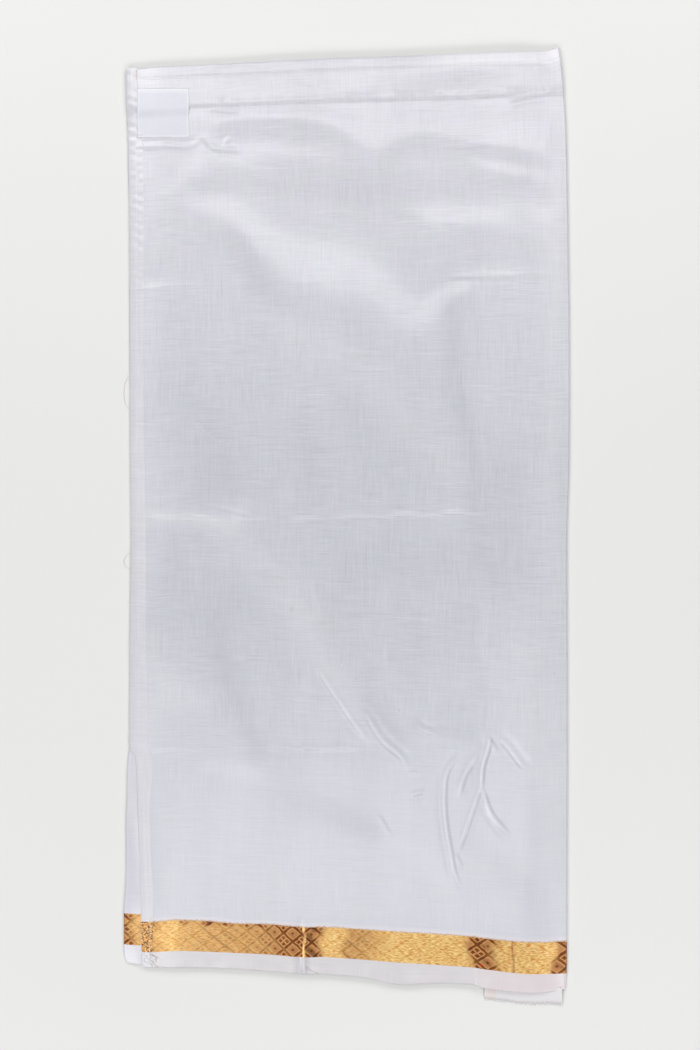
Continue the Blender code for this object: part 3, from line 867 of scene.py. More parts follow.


# Broad patches of painted light and painted shade over the ground: soft strokes, each point
# (x, y, how much paler in hundredths, reach)
PAINTED_LIGHT_PATCHES = (
    # Above and below the bright sweep
    ((-62, 382, -2, 20), (-12, 380, -2, 22), (60, 362, -2, 22)),
    ((-140, 335, -2, 12), (-112, 308, -3, 14), (-82, 262, -3, 14), (-30, 226, -2, 14)),
    # Down beside the inner end's edge
    ((126, 256, -4, 12), (129, 162, -4, 12), (149, 84, -4, 11), (157, -37, -2, 13)),
    # Paler bands that run down to the right
    ((-89, 250, 2, 22), (-11, 198, 3, 22), (68, 130, 3, 25), (129, 62, 2, 18)),
    ((-61, 233, 2, 12), (-60, 30, 2, 12)),
    ((-120, -10, 3, 20), (-57, -83, 4, 25), (-9, -172, 3, 20), (29, -233, 2, 16)),
    # Greyer patches about the middle
    ((-144, 121, -2, 29), (-136, 53, -4, 34)),
    ((-40, 108, -2, 16), (-28, 41, -2, 20)),
    ((12, -37, -2, 27), (146, -42, -2, 27)),
    ((190, 60, -4, 26), (190, -48, -4, 30)),
    ((-136, -89, -5, 27), (-140, -123, -5, 20), (-117, -196, -5, 17), (-94, -252, -5, 13)),
    # Along the middle crease at the left
    ((-238, 16, 5, 8), (-185, 10, 7, 11), (-132, 4, 6, 12), (-109, 20, 5, 9)),
    # Paler stretches beside the hem and the long fold
    ((-220, -141, 3, 29), (-208, -198, 4, 34), (-220, -250, 3, 22)),
    ((201, -135, 3, 34), (206, -245, 3, 34)),
    ((241, 357, 4, 13), (241, 248, 4, 13)),
    ((237, 226, 3, 14), (239, -80, 2, 14)),
    ((236, -277, 3, 22), (236, -408, 3, 22)),
    # About the wrinkles
    ((30, -194, -3, 11), (64, -240, -5, 12)),
    ((88, -221, -4, 9), (146, -229, -4, 9)),
    ((62, -349, 2, 13), (118, -391, 3, 16)),
    ((179, -388, -3, 20), (212, -404, -3, 20)),
    ((-45, -324, -2, 18), (34, -344, -2, 18)),
)


def painted_patch_light(x, y):
    """How much lighter the silk is painted over its broad patches, less than 0 where painted
    darker.
    """
    painted_lighter = np.zeros(np.shape(x))
    for stroke in PAINTED_LIGHT_PATCHES:
        away, _, (much, reach) = beside_stroke(stroke, x, y, steps=4)
        painted_lighter += much / 100.0 * fade(away, reach)
    return painted_lighter


# How much paler the silk looks over one more layer, and how much light is painted in beside the
# long fold, as points (y, share)
BACKING = 0.42
FOLD_PAINTED_LIGHT = ((-450, 0.5), (-190, 0.6), (-100, 0.3), (30, 0.0), (80, 0.1), (200, 0.5),
                (300, 0.5), (430, 0.0))


def layers_and_painted_light(x, y):
    """Paler over more layers below; painted light beside the hem, at the left and by the fold."""
    painted_light_beside_hem = smooth(-196.0, -220.0, x) * smooth(130.0, 220.0, y) * smooth(430.0, 385.0, y)
    painted_light_at_left = smooth(-110.0, -190.0, x) * smooth(-10.0, 40.0, y) * smooth(160.0, 90.0, y)
    painted_light_beside_fold = smooth(205.0, 240.0, x) * np.interp(y, *zip(*FOLD_PAINTED_LIGHT))
    return BACKING * inner_layer(x, y) + 0.6 * painted_light_beside_hem + 0.48 * painted_light_at_left + painted_light_beside_fold


ROW_CROWDS = ((273.0, 9.0, 1.5), (11.0, 9.0, 1.5), (-250.0, 9.0, 1.0), (-275.0, 100.0, 1.2),
              (475.0, 20.0, 1.2), (430.0, 30.0, 0.6))
ROW_COUNT = 312

white_silk = silk("white_silk", (198, 200, 207), (216, 217, 225), SPECKS)

# Beside the gold the ground is a paler, fuzzy line, where the gilt's ends are beaten in
across, along = white_silk.woven()
fuzz = white_silk.noise(across / 2.6, along / 1.6, seed=51.0, detail=2.0)
beside_gold = (along + (fuzz - 0.5) * 3.0).eased(-443.5, -447.0)
white_silk.over(beside_gold * 0.45, paint(226, 220, 226))
ends = (along + (fuzz - 0.5) * 5.0).eased(-448.4, -449.4)
white_silk.over(ends * 0.7, paint(196, 160, 122))

# Across its middle it is painted darker, a painted shade, and it is pinker near the waist
x, y, _ = white_silk.place()
painted_middle_shade = y.eased(-240.0, -110.0) * y.eased(230.0, 90.0) * x.eased(180.0, 60.0, 0.4, 1.0)
white_silk.over(painted_middle_shade * 0.05, paint(110, 112, 122))
white_silk.over(y.eased(120.0, 450.0, 0.0, 0.06), paint(246, 214, 224))

# Painted light and shade: broad patches, and the ridges and sides of its creases and wrinkles
patch = white_silk.tagged("patch")
white_silk.over(patch.larger(0.0) * 2.2, paint(255, 255, 255))
white_silk.over((patch * -2.0).larger(0.0), paint(110, 112, 122))
# Painted highlights along the ridges of creases and wrinkles, and painted shade beside them
painted_ridge_shading = white_silk.tagged("painted_ridge_shading")
white_silk.over(painted_ridge_shading.eased(0.0, 1.0) * 0.46, paint(246, 245, 250))
white_silk.over(painted_ridge_shading.eased(0.0, -1.0) * 0.4, paint(140, 140, 155))

ground_points, ground_places = front_rows(spaced(ZARI_TOP_Y, BAND_SEAM_Y, ROW_COUNT, ROW_CROWDS))
ground_cloth = sheet_object("ground_cloth", ground_points, ground_places, white_silk)
for name, numbers in (("painted_ridge_shading", painted_ridge_light_and_shade), ("patch", painted_patch_light), ("backing_and_painted_light", layers_and_painted_light)):
    tag(ground_cloth, name, numbers(ground_points[..., 0], ground_points[..., 1]))
lay(ground_cloth, "front_panel", (0.510, 0.925))


# ---------------------------------------------------------------- Waistband
# The top of the cloth is turned over and sewn down in two rows as a casing. Its folded edge is
# soft, its lower row draws the cloth into a groove, and a short row closes its end at the right.

BAND_RISE = 0.9
UPPER_SEAM_Y = 511.9
FOLDED_EDGE_Y = 524.05

# How far the casing stands above the ground cloth, as points (y, rise)
BAND_RISES = (
    (474.9, -0.05), (475.6, -0.10), (476.6, 0.12), (478.0, 0.62), (479.6, 1.02), (481.4, 1.08),
    (483.5, 0.95), (486.0, 0.86), (498.0, 0.82), (508.0, 0.88), (510.4, 0.84),
    (UPPER_SEAM_Y, 0.72), (513.4, 0.90), (518.8, 0.94), (519.6, 0.84), (520.4, 0.96),
    (522.2, 0.90), (523.0, 0.66), (523.6, 0.25), (523.9, -0.25), (524.0, -0.80),
    (FOLDED_EDGE_Y, -1.60),
)
BAND_ROWS = spaced(BAND_SEAM_Y, FOLDED_EDGE_Y, 64,
                   ((477.0, 3.0, 1.5), (UPPER_SEAM_Y, 4.0, 1.0), (523.7, 1.2, 6.0)))

# The upper row of stitches, the lower one, and the short one at the right
UPPER_ROW = ((-229.0, 511.4), (-184.6, 510.9), (-161.0, 511.9), (-126.0, 512.2), (-79.7, 511.3),
             (20.0, 510.3), (112.8, 509.0), (170.0, 506.6), (206.0, 504.9), (221.5, 506.2))
LOWER_ROW = ((-170.0, 480.0), (-105.0, 478.8), (-41.0, 477.4), (25.0, 476.1), (66.0, 475.2),
             (113.0, 474.6), (149.0, 474.0), (181.0, 473.6), (209.5, 476.4), (228.0, 478.8))
END_ROW = ((222.4, 506.2), (223.7, 490.0), (225.8, 478.0))

# How deep the lower seam is drawn in along its length, as points (x, depth)
SEAM_DEPTHS = (
    (-250.0, 0.7), (-146.0, 0.7), (-140.0, 0.2), (-130.0, 0.5), (-124.0, 1.1), (-26.0, 1.0),
    (-18.0, 0.1), (36.0, 0.1), (42.0, 0.6), (57.0, 0.6), (63.0, 0.15), (105.0, 0.2), (112.0, 0.9),
    (179.0, 0.9), (188.0, 0.0), (250.0, 0.0),
)


def band_rise(x, y):
    """The casing's rise, drawn into puckers along its rows of stitches."""
    rise = np.interp(y, *zip(*BAND_RISES)) + np.zeros(np.shape(x))
    depth = np.interp(x, *zip(*SEAM_DEPTHS)) * (1.0 + 0.3 * np.sin(x / 4.1))
    rise -= 0.24 * depth * fade(y - 476.0, 1.2)
    rise += 0.10 * fade(y - UPPER_SEAM_Y, 1.6) * smooth(-170.0, -215.0, x)
    loose = 0.75 * (1.0 - np.minimum(depth, 1.0)) * (y < 500.0)
    rise = rise + (0.84 * smooth(474.9, 490.0, y) - rise) * loose
    pucker = np.sin(x / 1.9 + 1.3 * np.sin(x / 23.0)) + 0.6 * np.sin(x / 3.7 + 2.0)
    rise += 0.08 * pucker * fade(y - 480.0, 3.0)
    rise += 0.06 * np.sin(x / 2.3 + y / 2.0) * fade(y - UPPER_SEAM_Y, 4.5)
    rise += 0.06 * np.sin(x / 31.0 + y / 9.0) * smooth(474.9, 481.0, y)
    end_x = np.interp(y, (472.0, 505.9), (226.5, 222.4))
    rise -= 0.16 * fade(x - end_x, 2.4) * smooth(509.0, 505.0, y)
    return rise


band_points, band_places = front_rows(BAND_ROWS, band_rise)
waistband_silk = silk("waistband_silk", (199, 199, 206), (216, 215, 222))

# Its upper edge is painted lighter towards the right, a painted highlight
_, along = waistband_silk.woven()
x, _, _ = waistband_silk.place()
painted_lighter = x.eased(60.0, 150.0) * along.eased(508.0, 512.0) * 0.35
waistband_silk.over(painted_lighter, paint(248, 247, 250))
waistband = sheet_object("waistband_cloth", band_points, band_places, waistband_silk)
tag(waistband, "backing_and_painted_light", np.full(band_points.shape[:2], BACKING))


def stitch_tree():
    """A Geometry Nodes tree that lays stitches end to end along a seam's own line."""
    tree = bpy.data.node_groups.new("row_of_stitches", "GeometryNodeTree")
    sockets = {}
    for label, kind in (("Seam", "Geometry"), ("Pitch", "Float"), ("Stitch Length", "Float"),
                        ("Thread Width", "Float"), ("Stitch Height", "Float"), ("Seed", "Int"),
                        ("Thread", "Material")):
        sockets[label] = tree.interface.new_socket(
            label, in_out="INPUT", socket_type="NodeSocket" + kind
        ).identifier
    tree.interface.new_socket("Stitches", in_out="OUTPUT", socket_type="NodeSocketGeometry")

    def node(kind, inputs=(), **settings):
        made = tree.nodes.new(kind)
        for label, setting in settings.items():
            setattr(made, label, setting)
        for label, given in dict(inputs).items():
            if isinstance(given, bpy.types.NodeSocket):
                tree.links.new(given, made.inputs[label])
            else:
                made.inputs[label].default_value = given
        return made

    given = node("NodeGroupInput").outputs
    curve = node("GeometryNodeMeshToCurve", {"Mesh": given["Seam"]})
    even = node("GeometryNodeResampleCurve",
                {"Curve": curve.outputs[0], "Length": given["Pitch"]}, mode="LENGTH")
    along = node("GeometryNodeInputTangent")
    turned = node("FunctionNodeAlignRotationToVector", {"Vector": along.outputs[0]}, axis="X")
    swing = node("FunctionNodeRandomValue", {"Seed": given["Seed"]}, data_type="FLOAT_VECTOR")
    swing.inputs[0].default_value = (0.0, 0.0, -0.10)
    swing.inputs[1].default_value = (0.0, 0.0, 0.10)
    uneven = node("FunctionNodeRotateRotation",
                  {"Rotation": turned.outputs[0], "Rotate By": swing.outputs[0]},
                  rotation_space="LOCAL")
    seed = node("ShaderNodeMath", {0: given["Seed"], 1: 5.0}, operation="ADD")
    reach = node("FunctionNodeRandomValue", {"Seed": seed.outputs[0]}, data_type="FLOAT")
    reach.inputs[2].default_value = 0.8
    reach.inputs[3].default_value = 1.12
    ball = node("GeometryNodeMeshUVSphere", {"Segments": 6, "Rings": 4, "Radius": 0.5})
    size = node("ShaderNodeCombineXYZ", {"X": given["Stitch Length"], "Y": given["Thread Width"],
                                         "Z": given["Stitch Height"]})
    shaped = node("GeometryNodeTransform", {"Geometry": ball.outputs[0], "Scale": size.outputs[0]})
    laid = node("GeometryNodeInstanceOnPoints",
                {"Points": even.outputs[0], "Instance": shaped.outputs[0],
                 "Rotation": uneven.outputs[0], "Scale": reach.outputs[1]})
    real = node("GeometryNodeRealizeInstances", {"Geometry": laid.outputs[0]})
    done = node("GeometryNodeSetMaterial",
                {"Geometry": real.outputs[0], "Material": given["Thread"]})
    out = node("NodeGroupOutput")
    tree.links.new(done.outputs[0], out.inputs[0])
    return tree, sockets


stitching, stitch_sockets = stitch_tree()


def thread_finish(name, colour):
    """Spun sewing thread: matt, with a twist that shades it along its length."""
    thread = Finish(name, Roughness=0.55)
    x, y, _ = thread.place()
    twist = thread.noise(x / 0.5, y / 0.5, seed=2.0)
    dark = tuple(c * 0.86 for c in colour)
    thread.surface("Base Color", thread.blend(twist, paint(*dark), paint(*colour)))
    thread.bump(twist, 0.03)
    return thread


THREAD_FLATNESS = 0.6


def sew(name, seams, finish, top, pitch, stitch, width, seed):
    """Rows of stitches along seams, each a path in x and y that lies on the given top."""
    points, edges = [], []
    for seam in seams:
        path = curve_through(seam, steps=40)
        heights = top(path[:, 0], path[:, 1])
        first = len(points)
        points += [(x * MM, y * MM, z * MM) for (x, y), z in zip(path, heights)]
        edges += [(i, i + 1) for i in range(first, len(points) - 1)]
    mesh = bpy.data.meshes.new(name + "_seam")
    mesh.from_pydata(points, edges, [])
    seam_object = new_object(name + "_seam", mesh)
    nodes = seam_object.modifiers.new("stitches", "NODES")
    nodes.node_group = stitching
    for label, setting in (("Pitch", pitch * MM), ("Stitch Length", stitch * MM),
                           ("Thread Width", width * MM),
                           ("Stitch Height", THREAD_FLATNESS * width * MM),
                           ("Seed", seed), ("Thread", finish.material)):
        nodes[stitch_sockets[label]] = setting
    evaluated = seam_object.evaluated_get(bpy.context.evaluated_depsgraph_get())
    sewn_mesh = bpy.data.meshes.new_from_object(evaluated)
    bpy.data.objects.remove(seam_object)
    sewn_mesh.shade_smooth()
    sewn = new_object(name, sewn_mesh)
    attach(sewn, "root")
    return sewn


BAND_MIDDLE_Y = 500.0


def band_top(x, y):
    """Top of the casing at a real place."""
    nominal = y - (place_y(x, BAND_MIDDLE_Y) - BAND_MIDDLE_Y)
    return cloth_top(x, y) + band_rise(x, nominal)


white_thread = thread_finish("white_thread", (236, 235, 240))
band_stitches = sew(
    "waistband_stitches", [UPPER_ROW, LOWER_ROW, END_ROW], white_thread, band_top,
    pitch=2.6, stitch=2.0, width=0.8, seed=1,
)
lay(waistband, "waistband", (0.510, 0.053))


# ---------------------------------------------------------------- Zari border
# A band of gilt thread woven across the cloth near its foot: a lattice of small diamonds, made by
# floating the gilt over a brown core. Its bright and dark stretches are painted reflection:
# where it is painted dark, the brown core shows as a painted shade.

# Half of a diamond's height, and how far under the border's foot the lattice starts
DIAMOND_HALF = 9.75
DIAMOND_SINK = 1.7

# Where each column of eyed diamonds stands. They crowd together beside the crease
DIAMOND_XS = (-248.0, -222.1, -194.8, -168.3, -142.5, -116.2, -92.4, -72.1, -51.4, -29.6, -6.8,
              16.5, 39.7, 65.6, 91.9, 118.1, 144.1, 168.4, 193.6, 218.2, 243.7, 269.0)

# How dark the gilt is painted, a painted reflection and shade, as points (x, share)
PAINTED_GILT_DARKNESS = (
    (-256.0, 0.95), (-249.0, 0.85), (-243.0, 0.65), (-238.0, 0.45), (-232.0, 0.35), (-226.0, 0.60),
    (-216.0, 0.50), (-208.0, 0.36), (-192.0, 0.15), (-180.0, 0.38), (-160.0, 0.44), (-140.0, 0.50),
    (-120.0, 0.50), (-100.0, 0.55), (-84.0, 0.62), (-70.0, 0.80), (-58.0, 0.90), (-44.0, 0.95),
    (-38.0, 1.10), (-29.0, 1.12), (-23.0, 0.75), (-18.0, 0.3), (-13.0, 0.05), (1.0, 0.10),
    (9.0, 0.55), (24.0, 0.52), (36.0, 0.40), (48.0, 0.20), (56.0, 0.08), (100.0, 0.05),
    (136.0, 0.06), (144.0, 0.30), (150.0, 0.95), (166.0, 1.0), (174.0, 0.60), (181.0, 0.22),
    (196.0, 0.12), (226.0, 0.0), (236.0, 0.25), (241.0, 0.95), (254.0, 1.0),
)
# A crease in the gold where it is painted dark, a painted shade
PAINTED_CREASE_SHADE_X = 193.2

# Painted shadows at the border's upper edge, beside the ground, where the gilt is painted darker
PaintedTopShadow = namedtuple("PaintedTopShadow", "x half turned drop")
TOP_PAINTED_SHADOWS = (
    PaintedTopShadow(-217.0, 5.0, 0.45, 10.0),
    PaintedTopShadow(-181.0, 6.0, 0.50, 8.0),
    PaintedTopShadow(-152.5, 5.0, 0.80, 7.0),
    PaintedTopShadow(-131.0, 6.5, 0.60, 5.0),
    PaintedTopShadow(-109.0, 5.0, 0.40, 5.0),
    PaintedTopShadow(-92.0, 4.0, 0.50, 5.0),
)


def painted_gilt_shade(x, y):
    """How dark the gilt is painted at a place, 0 to 1: painted reflection and shade."""
    share = np.interp(x + 4.0 * np.sin(y / 7.0 + x / 30.0), *zip(*PAINTED_GILT_DARKNESS))
    share = share + 0.12 * np.sin(x / 3.1 + y / 2.3) * share
    # Painted shadows along the border's upper edge
    for patch in TOP_PAINTED_SHADOWS:
        beside = fade(x - patch.x, patch.half)
        share = share + patch.turned * beside * smooth(-449.0 - patch.drop, -450.5, y)
    # The long crease is painted bright, a painted highlight, and one more crease dark, as shade
    share = share - 1.7 * fade(x - PRESS_DOWN_X - 0.7 * np.sin(y / 5.0), 1.05)
    share = share + fade(x - PAINTED_CREASE_SHADE_X - 0.4 * np.sin(y / 6.0), 0.9)
    return np.clip(share, -0.4, 1.2)


def zari(name, foot_y):
    """Gilt thread woven in a lattice of diamonds, with its brown core painted in as shade."""
    gilt = Finish(name, Roughness=0.42, Metallic=0.3, Specular_IOR_Level=0.3)
    across, along = gilt.woven()
    waver_x = gilt.noise(across / 5.0, along / 5.0, seed=17.0) - 0.5
    waver_y = (gilt.noise(across / 5.0, along / 5.0, seed=19.0) - 0.5) * 2.2
    column = gilt.tagged("diamond")
    u = column * 2.0 + waver_x * 0.2
    v = (along - (foot_y - DIAMOND_SINK) + waver_y) / DIAMOND_HALF
    rising, falling = u + v, u - v
    a = (rising / 2.0).fraction() * 2.0 - 1.0
    b = (falling / 2.0).fraction() * 2.0 - 1.0
    out = a.magnitude().larger(b.magnitude())
    inner = a.magnitude().smaller(b.magnitude())
    odd = (((rising / 2.0).floor() - (falling / 2.0).floor()) / 2.0).fraction() * 2.0
    ring = out.eased(0.60, 0.68) * out.eased(0.84, 0.76)
    dotted = ring.larger(out.eased(0.12, 0.28) * out.eased(0.80, 0.72) * 0.6)
    cross = inner.eased(0.16, 0.07) * out.eased(0.80, 0.72)
    motif = dotted * odd.eased(0.3, 0.7) + ring.larger(cross) * odd.eased(0.7, 0.3)
    line = out.eased(0.84, 0.94)
    # How dark the gold is painted: painted reflection and shade
    turned = gilt.tagged("turned")
    sway = gilt.noise(across / 7.0, along / 11.0, seed=15.0) * 4.0
    thread = gilt.noise(across / 5.0, (along + sway) / 1.15, seed=4.0, detail=1.5, roughness=0.6)
    wear = gilt.noise(across / 13.0, along / 8.0, seed=9.0, detail=3.0)
    gloss = (thread - 0.5) * 3.4 + (wear - 0.5) * 0.9 + 0.46
    bright = gilt.blend(gloss, paint(202, 138, 60), paint(255, 228, 154))
    bright = gilt.blend(motif * 0.36, bright, paint(240, 190, 130))
    bright = gilt.blend(line * 0.24, bright, paint(204, 138, 52))
    clear = turned.eased(0.42, 0.85, 0.55, 1.0)
    core = gilt.blend((motif - 0.5) * clear + 0.5, paint(112, 56, 2), paint(204, 146, 92))
    core = gilt.blend(line * clear * 0.35, core, paint(96, 44, 0))
    core = gilt.blend((thread - 0.5) * 1.3, core, paint(206, 140, 60))
    core = gilt.blend(turned.eased(0.98, 1.2) * 0.6, core, paint(74, 32, 0))
    share = (turned + (wear - 0.5) * 0.34 + (thread - 0.5) * 0.34).eased(0.0, 1.0)
    flat = gilt.blend(share, bright, core)
    # Below 0 the gold is painted bright along the long crease, a painted highlight
    gilt.surface("Base Color", gilt.blend(turned.eased(-0.05, -0.4), flat, paint(255, 226, 150)))
    gilt.surface("Roughness", share * 0.12 + 0.38 + (wear - 0.5) * 0.1)
    gilt.bump(thread * 2.0 + motif * 0.3, 0.05)
    return gilt


ZARI_ROWS = spaced(ZARI_FOOT_Y, ZARI_TOP_Y, 40, ())
zari_points, zari_places = front_rows(ZARI_ROWS)
border_gilt = zari("zari", ZARI_FOOT_Y)

# One pick of red yarn caught in the gold near its foot
x, y, _ = border_gilt.place()
border_gilt.over(spot((x - 158.1) / 2.1, (y + 483.4) / 0.8, 1.0, 0.5), paint(214, 44, 34))
zari_border = sheet_object("zari_cloth", zari_points, zari_places, border_gilt)
tag(zari_border, "turned", painted_gilt_shade(zari_points[..., 0], zari_points[..., 1]))
tag(zari_border, "diamond",
    np.interp(zari_places[..., 0], DIAMOND_XS, np.arange(len(DIAMOND_XS), dtype=float)))
lay(zari_border, "zari_border", (0.510, 0.036))


# ---------------------------------------------------------------- Selvedge
# The plain woven edge of the cloth below the gold. It is a little warmer and denser than the
# ground, with a fine rib along its very edge.

SELVEDGE_ROWS = spaced(FOOT_Y, ZARI_FOOT_Y, 16, ((FOOT_Y, 2.0, 3.0),))
SELVEDGE_DROP = ((-505.0, -0.45), (-504.7, -0.12), (-504.0, 0.0), (-486.0, 0.0))


def selvedge_rise(x, y):
    """The very edge rounds down, and ripples a little."""
    drop = np.interp(y, *zip(*SELVEDGE_DROP))
    free = smooth(-490.0, -505.0, y)
    return drop + free * (0.22 * np.sin(x / 11.0) + 0.16 * np.sin(x / 4.3 + 1.0))


selvedge_silk = silk("selvedge_silk", (206, 204, 207), (222, 218, 221))

# Over the inner end its white is warmer
x, _, _ = selvedge_silk.place()
selvedge_silk.over(x.eased(135.0, 175.0, 0.0, 0.4), paint(231, 216, 217))

# Both sides of the long crease are painted darker, a painted shade in its fold
painted_crease_shade = x.eased(-58.0, -43.5) * x.eased(-40.6, -42.0)
painted_crease_shade = painted_crease_shade + x.eased(-31.0, -38.5) * x.eased(-40.6, -39.6)
selvedge_silk.over(painted_crease_shade * 0.35, paint(168, 167, 177))
selvedge_points, selvedge_places = front_rows(SELVEDGE_ROWS, selvedge_rise)
selvedge = sheet_object("selvedge_cloth", selvedge_points, selvedge_places, selvedge_silk)
lay(selvedge, "selvedge", (0.510, 0.019))


# ---------------------------------------------------------------- Side hem
# The free end of the cloth, turned over twice and sewn down the left side. It crosses the ground,
# the gold and the selvedge. Its stitches pucker it, most of all beside the label.

# How wide the hem is along its length, as points (y, width)
HEM_WIDTHS = (
    (-505.0, 12.6), (-428.0, 14.8), (-325.0, 14.4), (-250.0, 21.4), (-130.0, 19.6), (10.0, 18.0),
    (168.0, 16.6), (420.0, 18.2), (470.0, 18.6), (500.0, 15.0), (528.0, 14.0),
)
HEM_TOP_Y = 525.4

# The hem from under the free end to its sewn edge, as points (share of its width, rise)
HEM_PROFILE = (
    (0.08, -1.30), (0.02, -1.15), (-0.02, -0.55), (-0.01, -0.05), (0.03, 0.24), (0.10, 0.38),
    (0.20, 0.46), (0.32, 0.50), (0.44, 0.50), (0.53, 0.46), (0.59, 0.33), (0.66, 0.36),
    (0.76, 0.34), (0.86, 0.30), (0.95, 0.20), (1.02, 0.04), (1.05, -0.20),
)


def band_rise_under(y):
    """How far the casing lifts what lies across it."""
    return BAND_RISE * smooth(BAND_SEAM_Y - 3.0, BAND_SEAM_Y + 5.0, y)


def hem_pucker(share, y):
    """The hem's dimples, in two columns beside the label, and its slight gathers elsewhere."""
    across = np.clip(share, 0.0, 1.0)
    lumpy = smooth(262.0, 300.0, y) * (0.45 + 0.55 * smooth(470.0, 450.0, y))
    drift = 1.3 * np.sin(y / 23.0) + 0.9 * np.sin(y / 9.7 + 1.0)
    uneven = 0.35 * np.sin(y / 6.3 + np.sin(y / 15.0))
    lumpy = lumpy * (1.0 - 0.55 * smooth(440.0, 410.0, y) + uneven)
    dimples = np.sin(y / 1.75 + drift) * fade(share - 0.30, 0.2)
    dimples = dimples + np.sin(y / 1.75 + drift + 2.2) * fade(share - 0.80, 0.16)
    fine = np.sin(y / 1.7 + across * 3.0) + 0.7 * np.sin(y / 3.9 + 2.0)
    gather = smooth(-486.0, -492.0, y) * np.sin(y / 1.1 + across * 9.0)
    return 0.26 * lumpy * dimples + (0.04 * fine + 0.10 * gather) * np.sin(math.pi * across)


def hem_rows(ys):
    """Points and weave places of the hem, row by row, each from under the free end."""
    ys = np.asarray(ys, float)[:, None]
    left, width = free_end(ys), curve_at(HEM_WIDTHS, ys)
    shares, rises = np.array(HEM_PROFILE).T
    xs = left + width * shares
    lines = place_y(xs, ys)
    tops = cloth_top(np.maximum(xs, left), lines) + band_rise_under(ys)
    tops = tops + rises + hem_pucker(shares, ys)
    places = np.stack([xs + 0.35 * width * np.sign(rises), lines], axis=-1)
    return np.stack([xs, lines, tops], axis=-1), places


def hem_top(x, y):
    """Top of the hem at a real place."""
    left, width = free_end(y), curve_at(HEM_WIDTHS, y)
    share = (x - left) / width
    shares, rises = np.array(HEM_PROFILE[2:-1]).T
    rise = np.interp(share, shares, rises) + hem_pucker(share, y)
    return cloth_top(x, y) + band_rise_under(y) + rise


HEM_SEAM = ((-238.6, 524.0), (-238.6, 470.0), (-238.0, 400.0), (-237.0, 300.0), (-236.2, 170.0),
            (-234.2, 60.0), (-231.2, -38.3), (-229.6, -198.7), (-228.3, -250.2), (-225.7, -281.1),
            (-224.5, -301.7), (-223.0, -330.3), (-223.0, -347.4), (-220.4, -370.2),
            (-219.6, -393.0), (-219.4, -433.1), (-220.9, -452.7), (-221.4, -490.4))
TACK = ((-230.0, -491.0), (-224.0, -492.5), (-215.0, -491.5), (-211.0, -494.0), (-216.0, -496.0),
        (-226.0, -495.0), (-230.0, -497.5), (-222.0, -499.5), (-213.0, -498.5))
TOP_SEAM = ((-236.9, 522.0), (-236.7, 513.4))

# A thicker thread holds the hem across the gold, along its sewn edge and its folded one
BORDER_SEAMS = (((-220.6, -448.5), (-221.0, -470.0), (-221.4, -490.0)),
                ((-231.6, -450.0), (-231.4, -487.0)))
gold_thread = thread_finish("gold_thread", (226, 205, 150))
hem_stitches = sew("side_hem_stitches", [HEM_SEAM], white_thread, hem_top,
                   pitch=3.0, stitch=2.3, width=0.6, seed=3)
tack_stitches = sew("side_hem_tack", [TACK], white_thread, hem_top,
                    pitch=1.6, stitch=2.0, width=0.6, seed=5)
top_stitches = sew("side_hem_end_stitches", [TOP_SEAM], gold_thread, hem_top,
                   pitch=2.2, stitch=2.1, width=1.4, seed=7)
warm_thread = thread_finish("warm_thread", (250, 236, 216))
border_stitches = sew("side_hem_border_stitches", BORDER_SEAMS, warm_thread, hem_top,
                      pitch=2.9, stitch=2.4, width=1.3, seed=9)


THREAD_SIDES = 5


def thread_lengths(name, paths, finish, thickness):
    """Loose lengths of thread, each a path in x, y and z, as thin tubes."""
    points, faces = [], []
    for path in paths:
        line = curve_through(path, steps=6)
        ahead = np.gradient(line, axis=0)
        ahead /= np.linalg.norm(ahead, axis=1)[:, None]
        beside = np.cross(ahead, (0.0, 0.0, 1.0))
        beside /= np.linalg.norm(beside, axis=1)[:, None]
        above = np.cross(beside, ahead)
        index = numbered((THREAD_SIDES, len(line)), len(points))
        for angle in np.arange(THREAD_SIDES) * 2 * math.pi / THREAD_SIDES:
            spoke = beside * math.cos(angle) + above * math.sin(angle)
            points += list(line + thickness / 2 * spoke)
        faces += quads(np.vstack([index, index[:1]])).tolist()
        faces += [index[:, 0].tolist(), index[::-1, -1].tolist()]
    threads = mesh_object(name, points, faces, finish)
    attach(threads, "root")
    return threads


LOOSE_LIFT = 0.5


def resting(path):
    """A path in x and y, laid on the cloth's top."""
    given = np.array(path, float)
    return np.column_stack([given, cloth_top(given[:, 0], given[:, 1]) + LOOSE_LIFT])


# Frayed ends at the hem's foot and in the long crease, and two slack loops past the cloth's edge
# on the table
pale_thread = thread_finish("pale_thread", (226, 212, 202))
loose_ends = thread_lengths(
    "side_hem_loose_ends",
    [resting(path) for path in (
        ((-221.4, -488.0), (-220.2, -494.5), (-222.6, -499.0), (-217.4, -503.0)),
        ((-221.0, -489.5), (-216.0, -491.5), (-213.6, -496.5), (-218.0, -500.0)),
        ((-222.0, -491.0), (-226.4, -494.0), (-227.4, -499.5), (-224.0, -502.0)),
        ((-219.5, -490.5), (-214.0, -493.5), (-210.6, -492.5)),
        ((-223.5, -496.5), (-219.0, -497.5), (-214.5, -502.5), (-211.0, -504.0)),
        ((-38.6, -495.9), (-34.8, -497.4), (-29.4, -500.2), (-24.6, -502.4)),
    )],
    pale_thread, 0.4,
)
thread_lengths(
    "side_hem_loops",
    [
        ((-243.0, 173.0, 2.6), (-248.5, 172.0, 0.8), (-252.6, 163.0, 0.1), (-253.6, 152.0, 0.1),
         (-251.5, 141.0, 0.1), (-247.0, 136.0, 0.9), (-242.6, 135.5, 2.6)),
        ((-242.0, -30.0, 2.6), (-248.0, -31.5, 0.6), (-253.5, -38.0, 0.1), (-252.0, -45.5, 0.1),
         (-246.6, -48.7, 0.8), (-242.0, -48.0, 2.6)),
    ],
    pale_thread, 0.35,
)


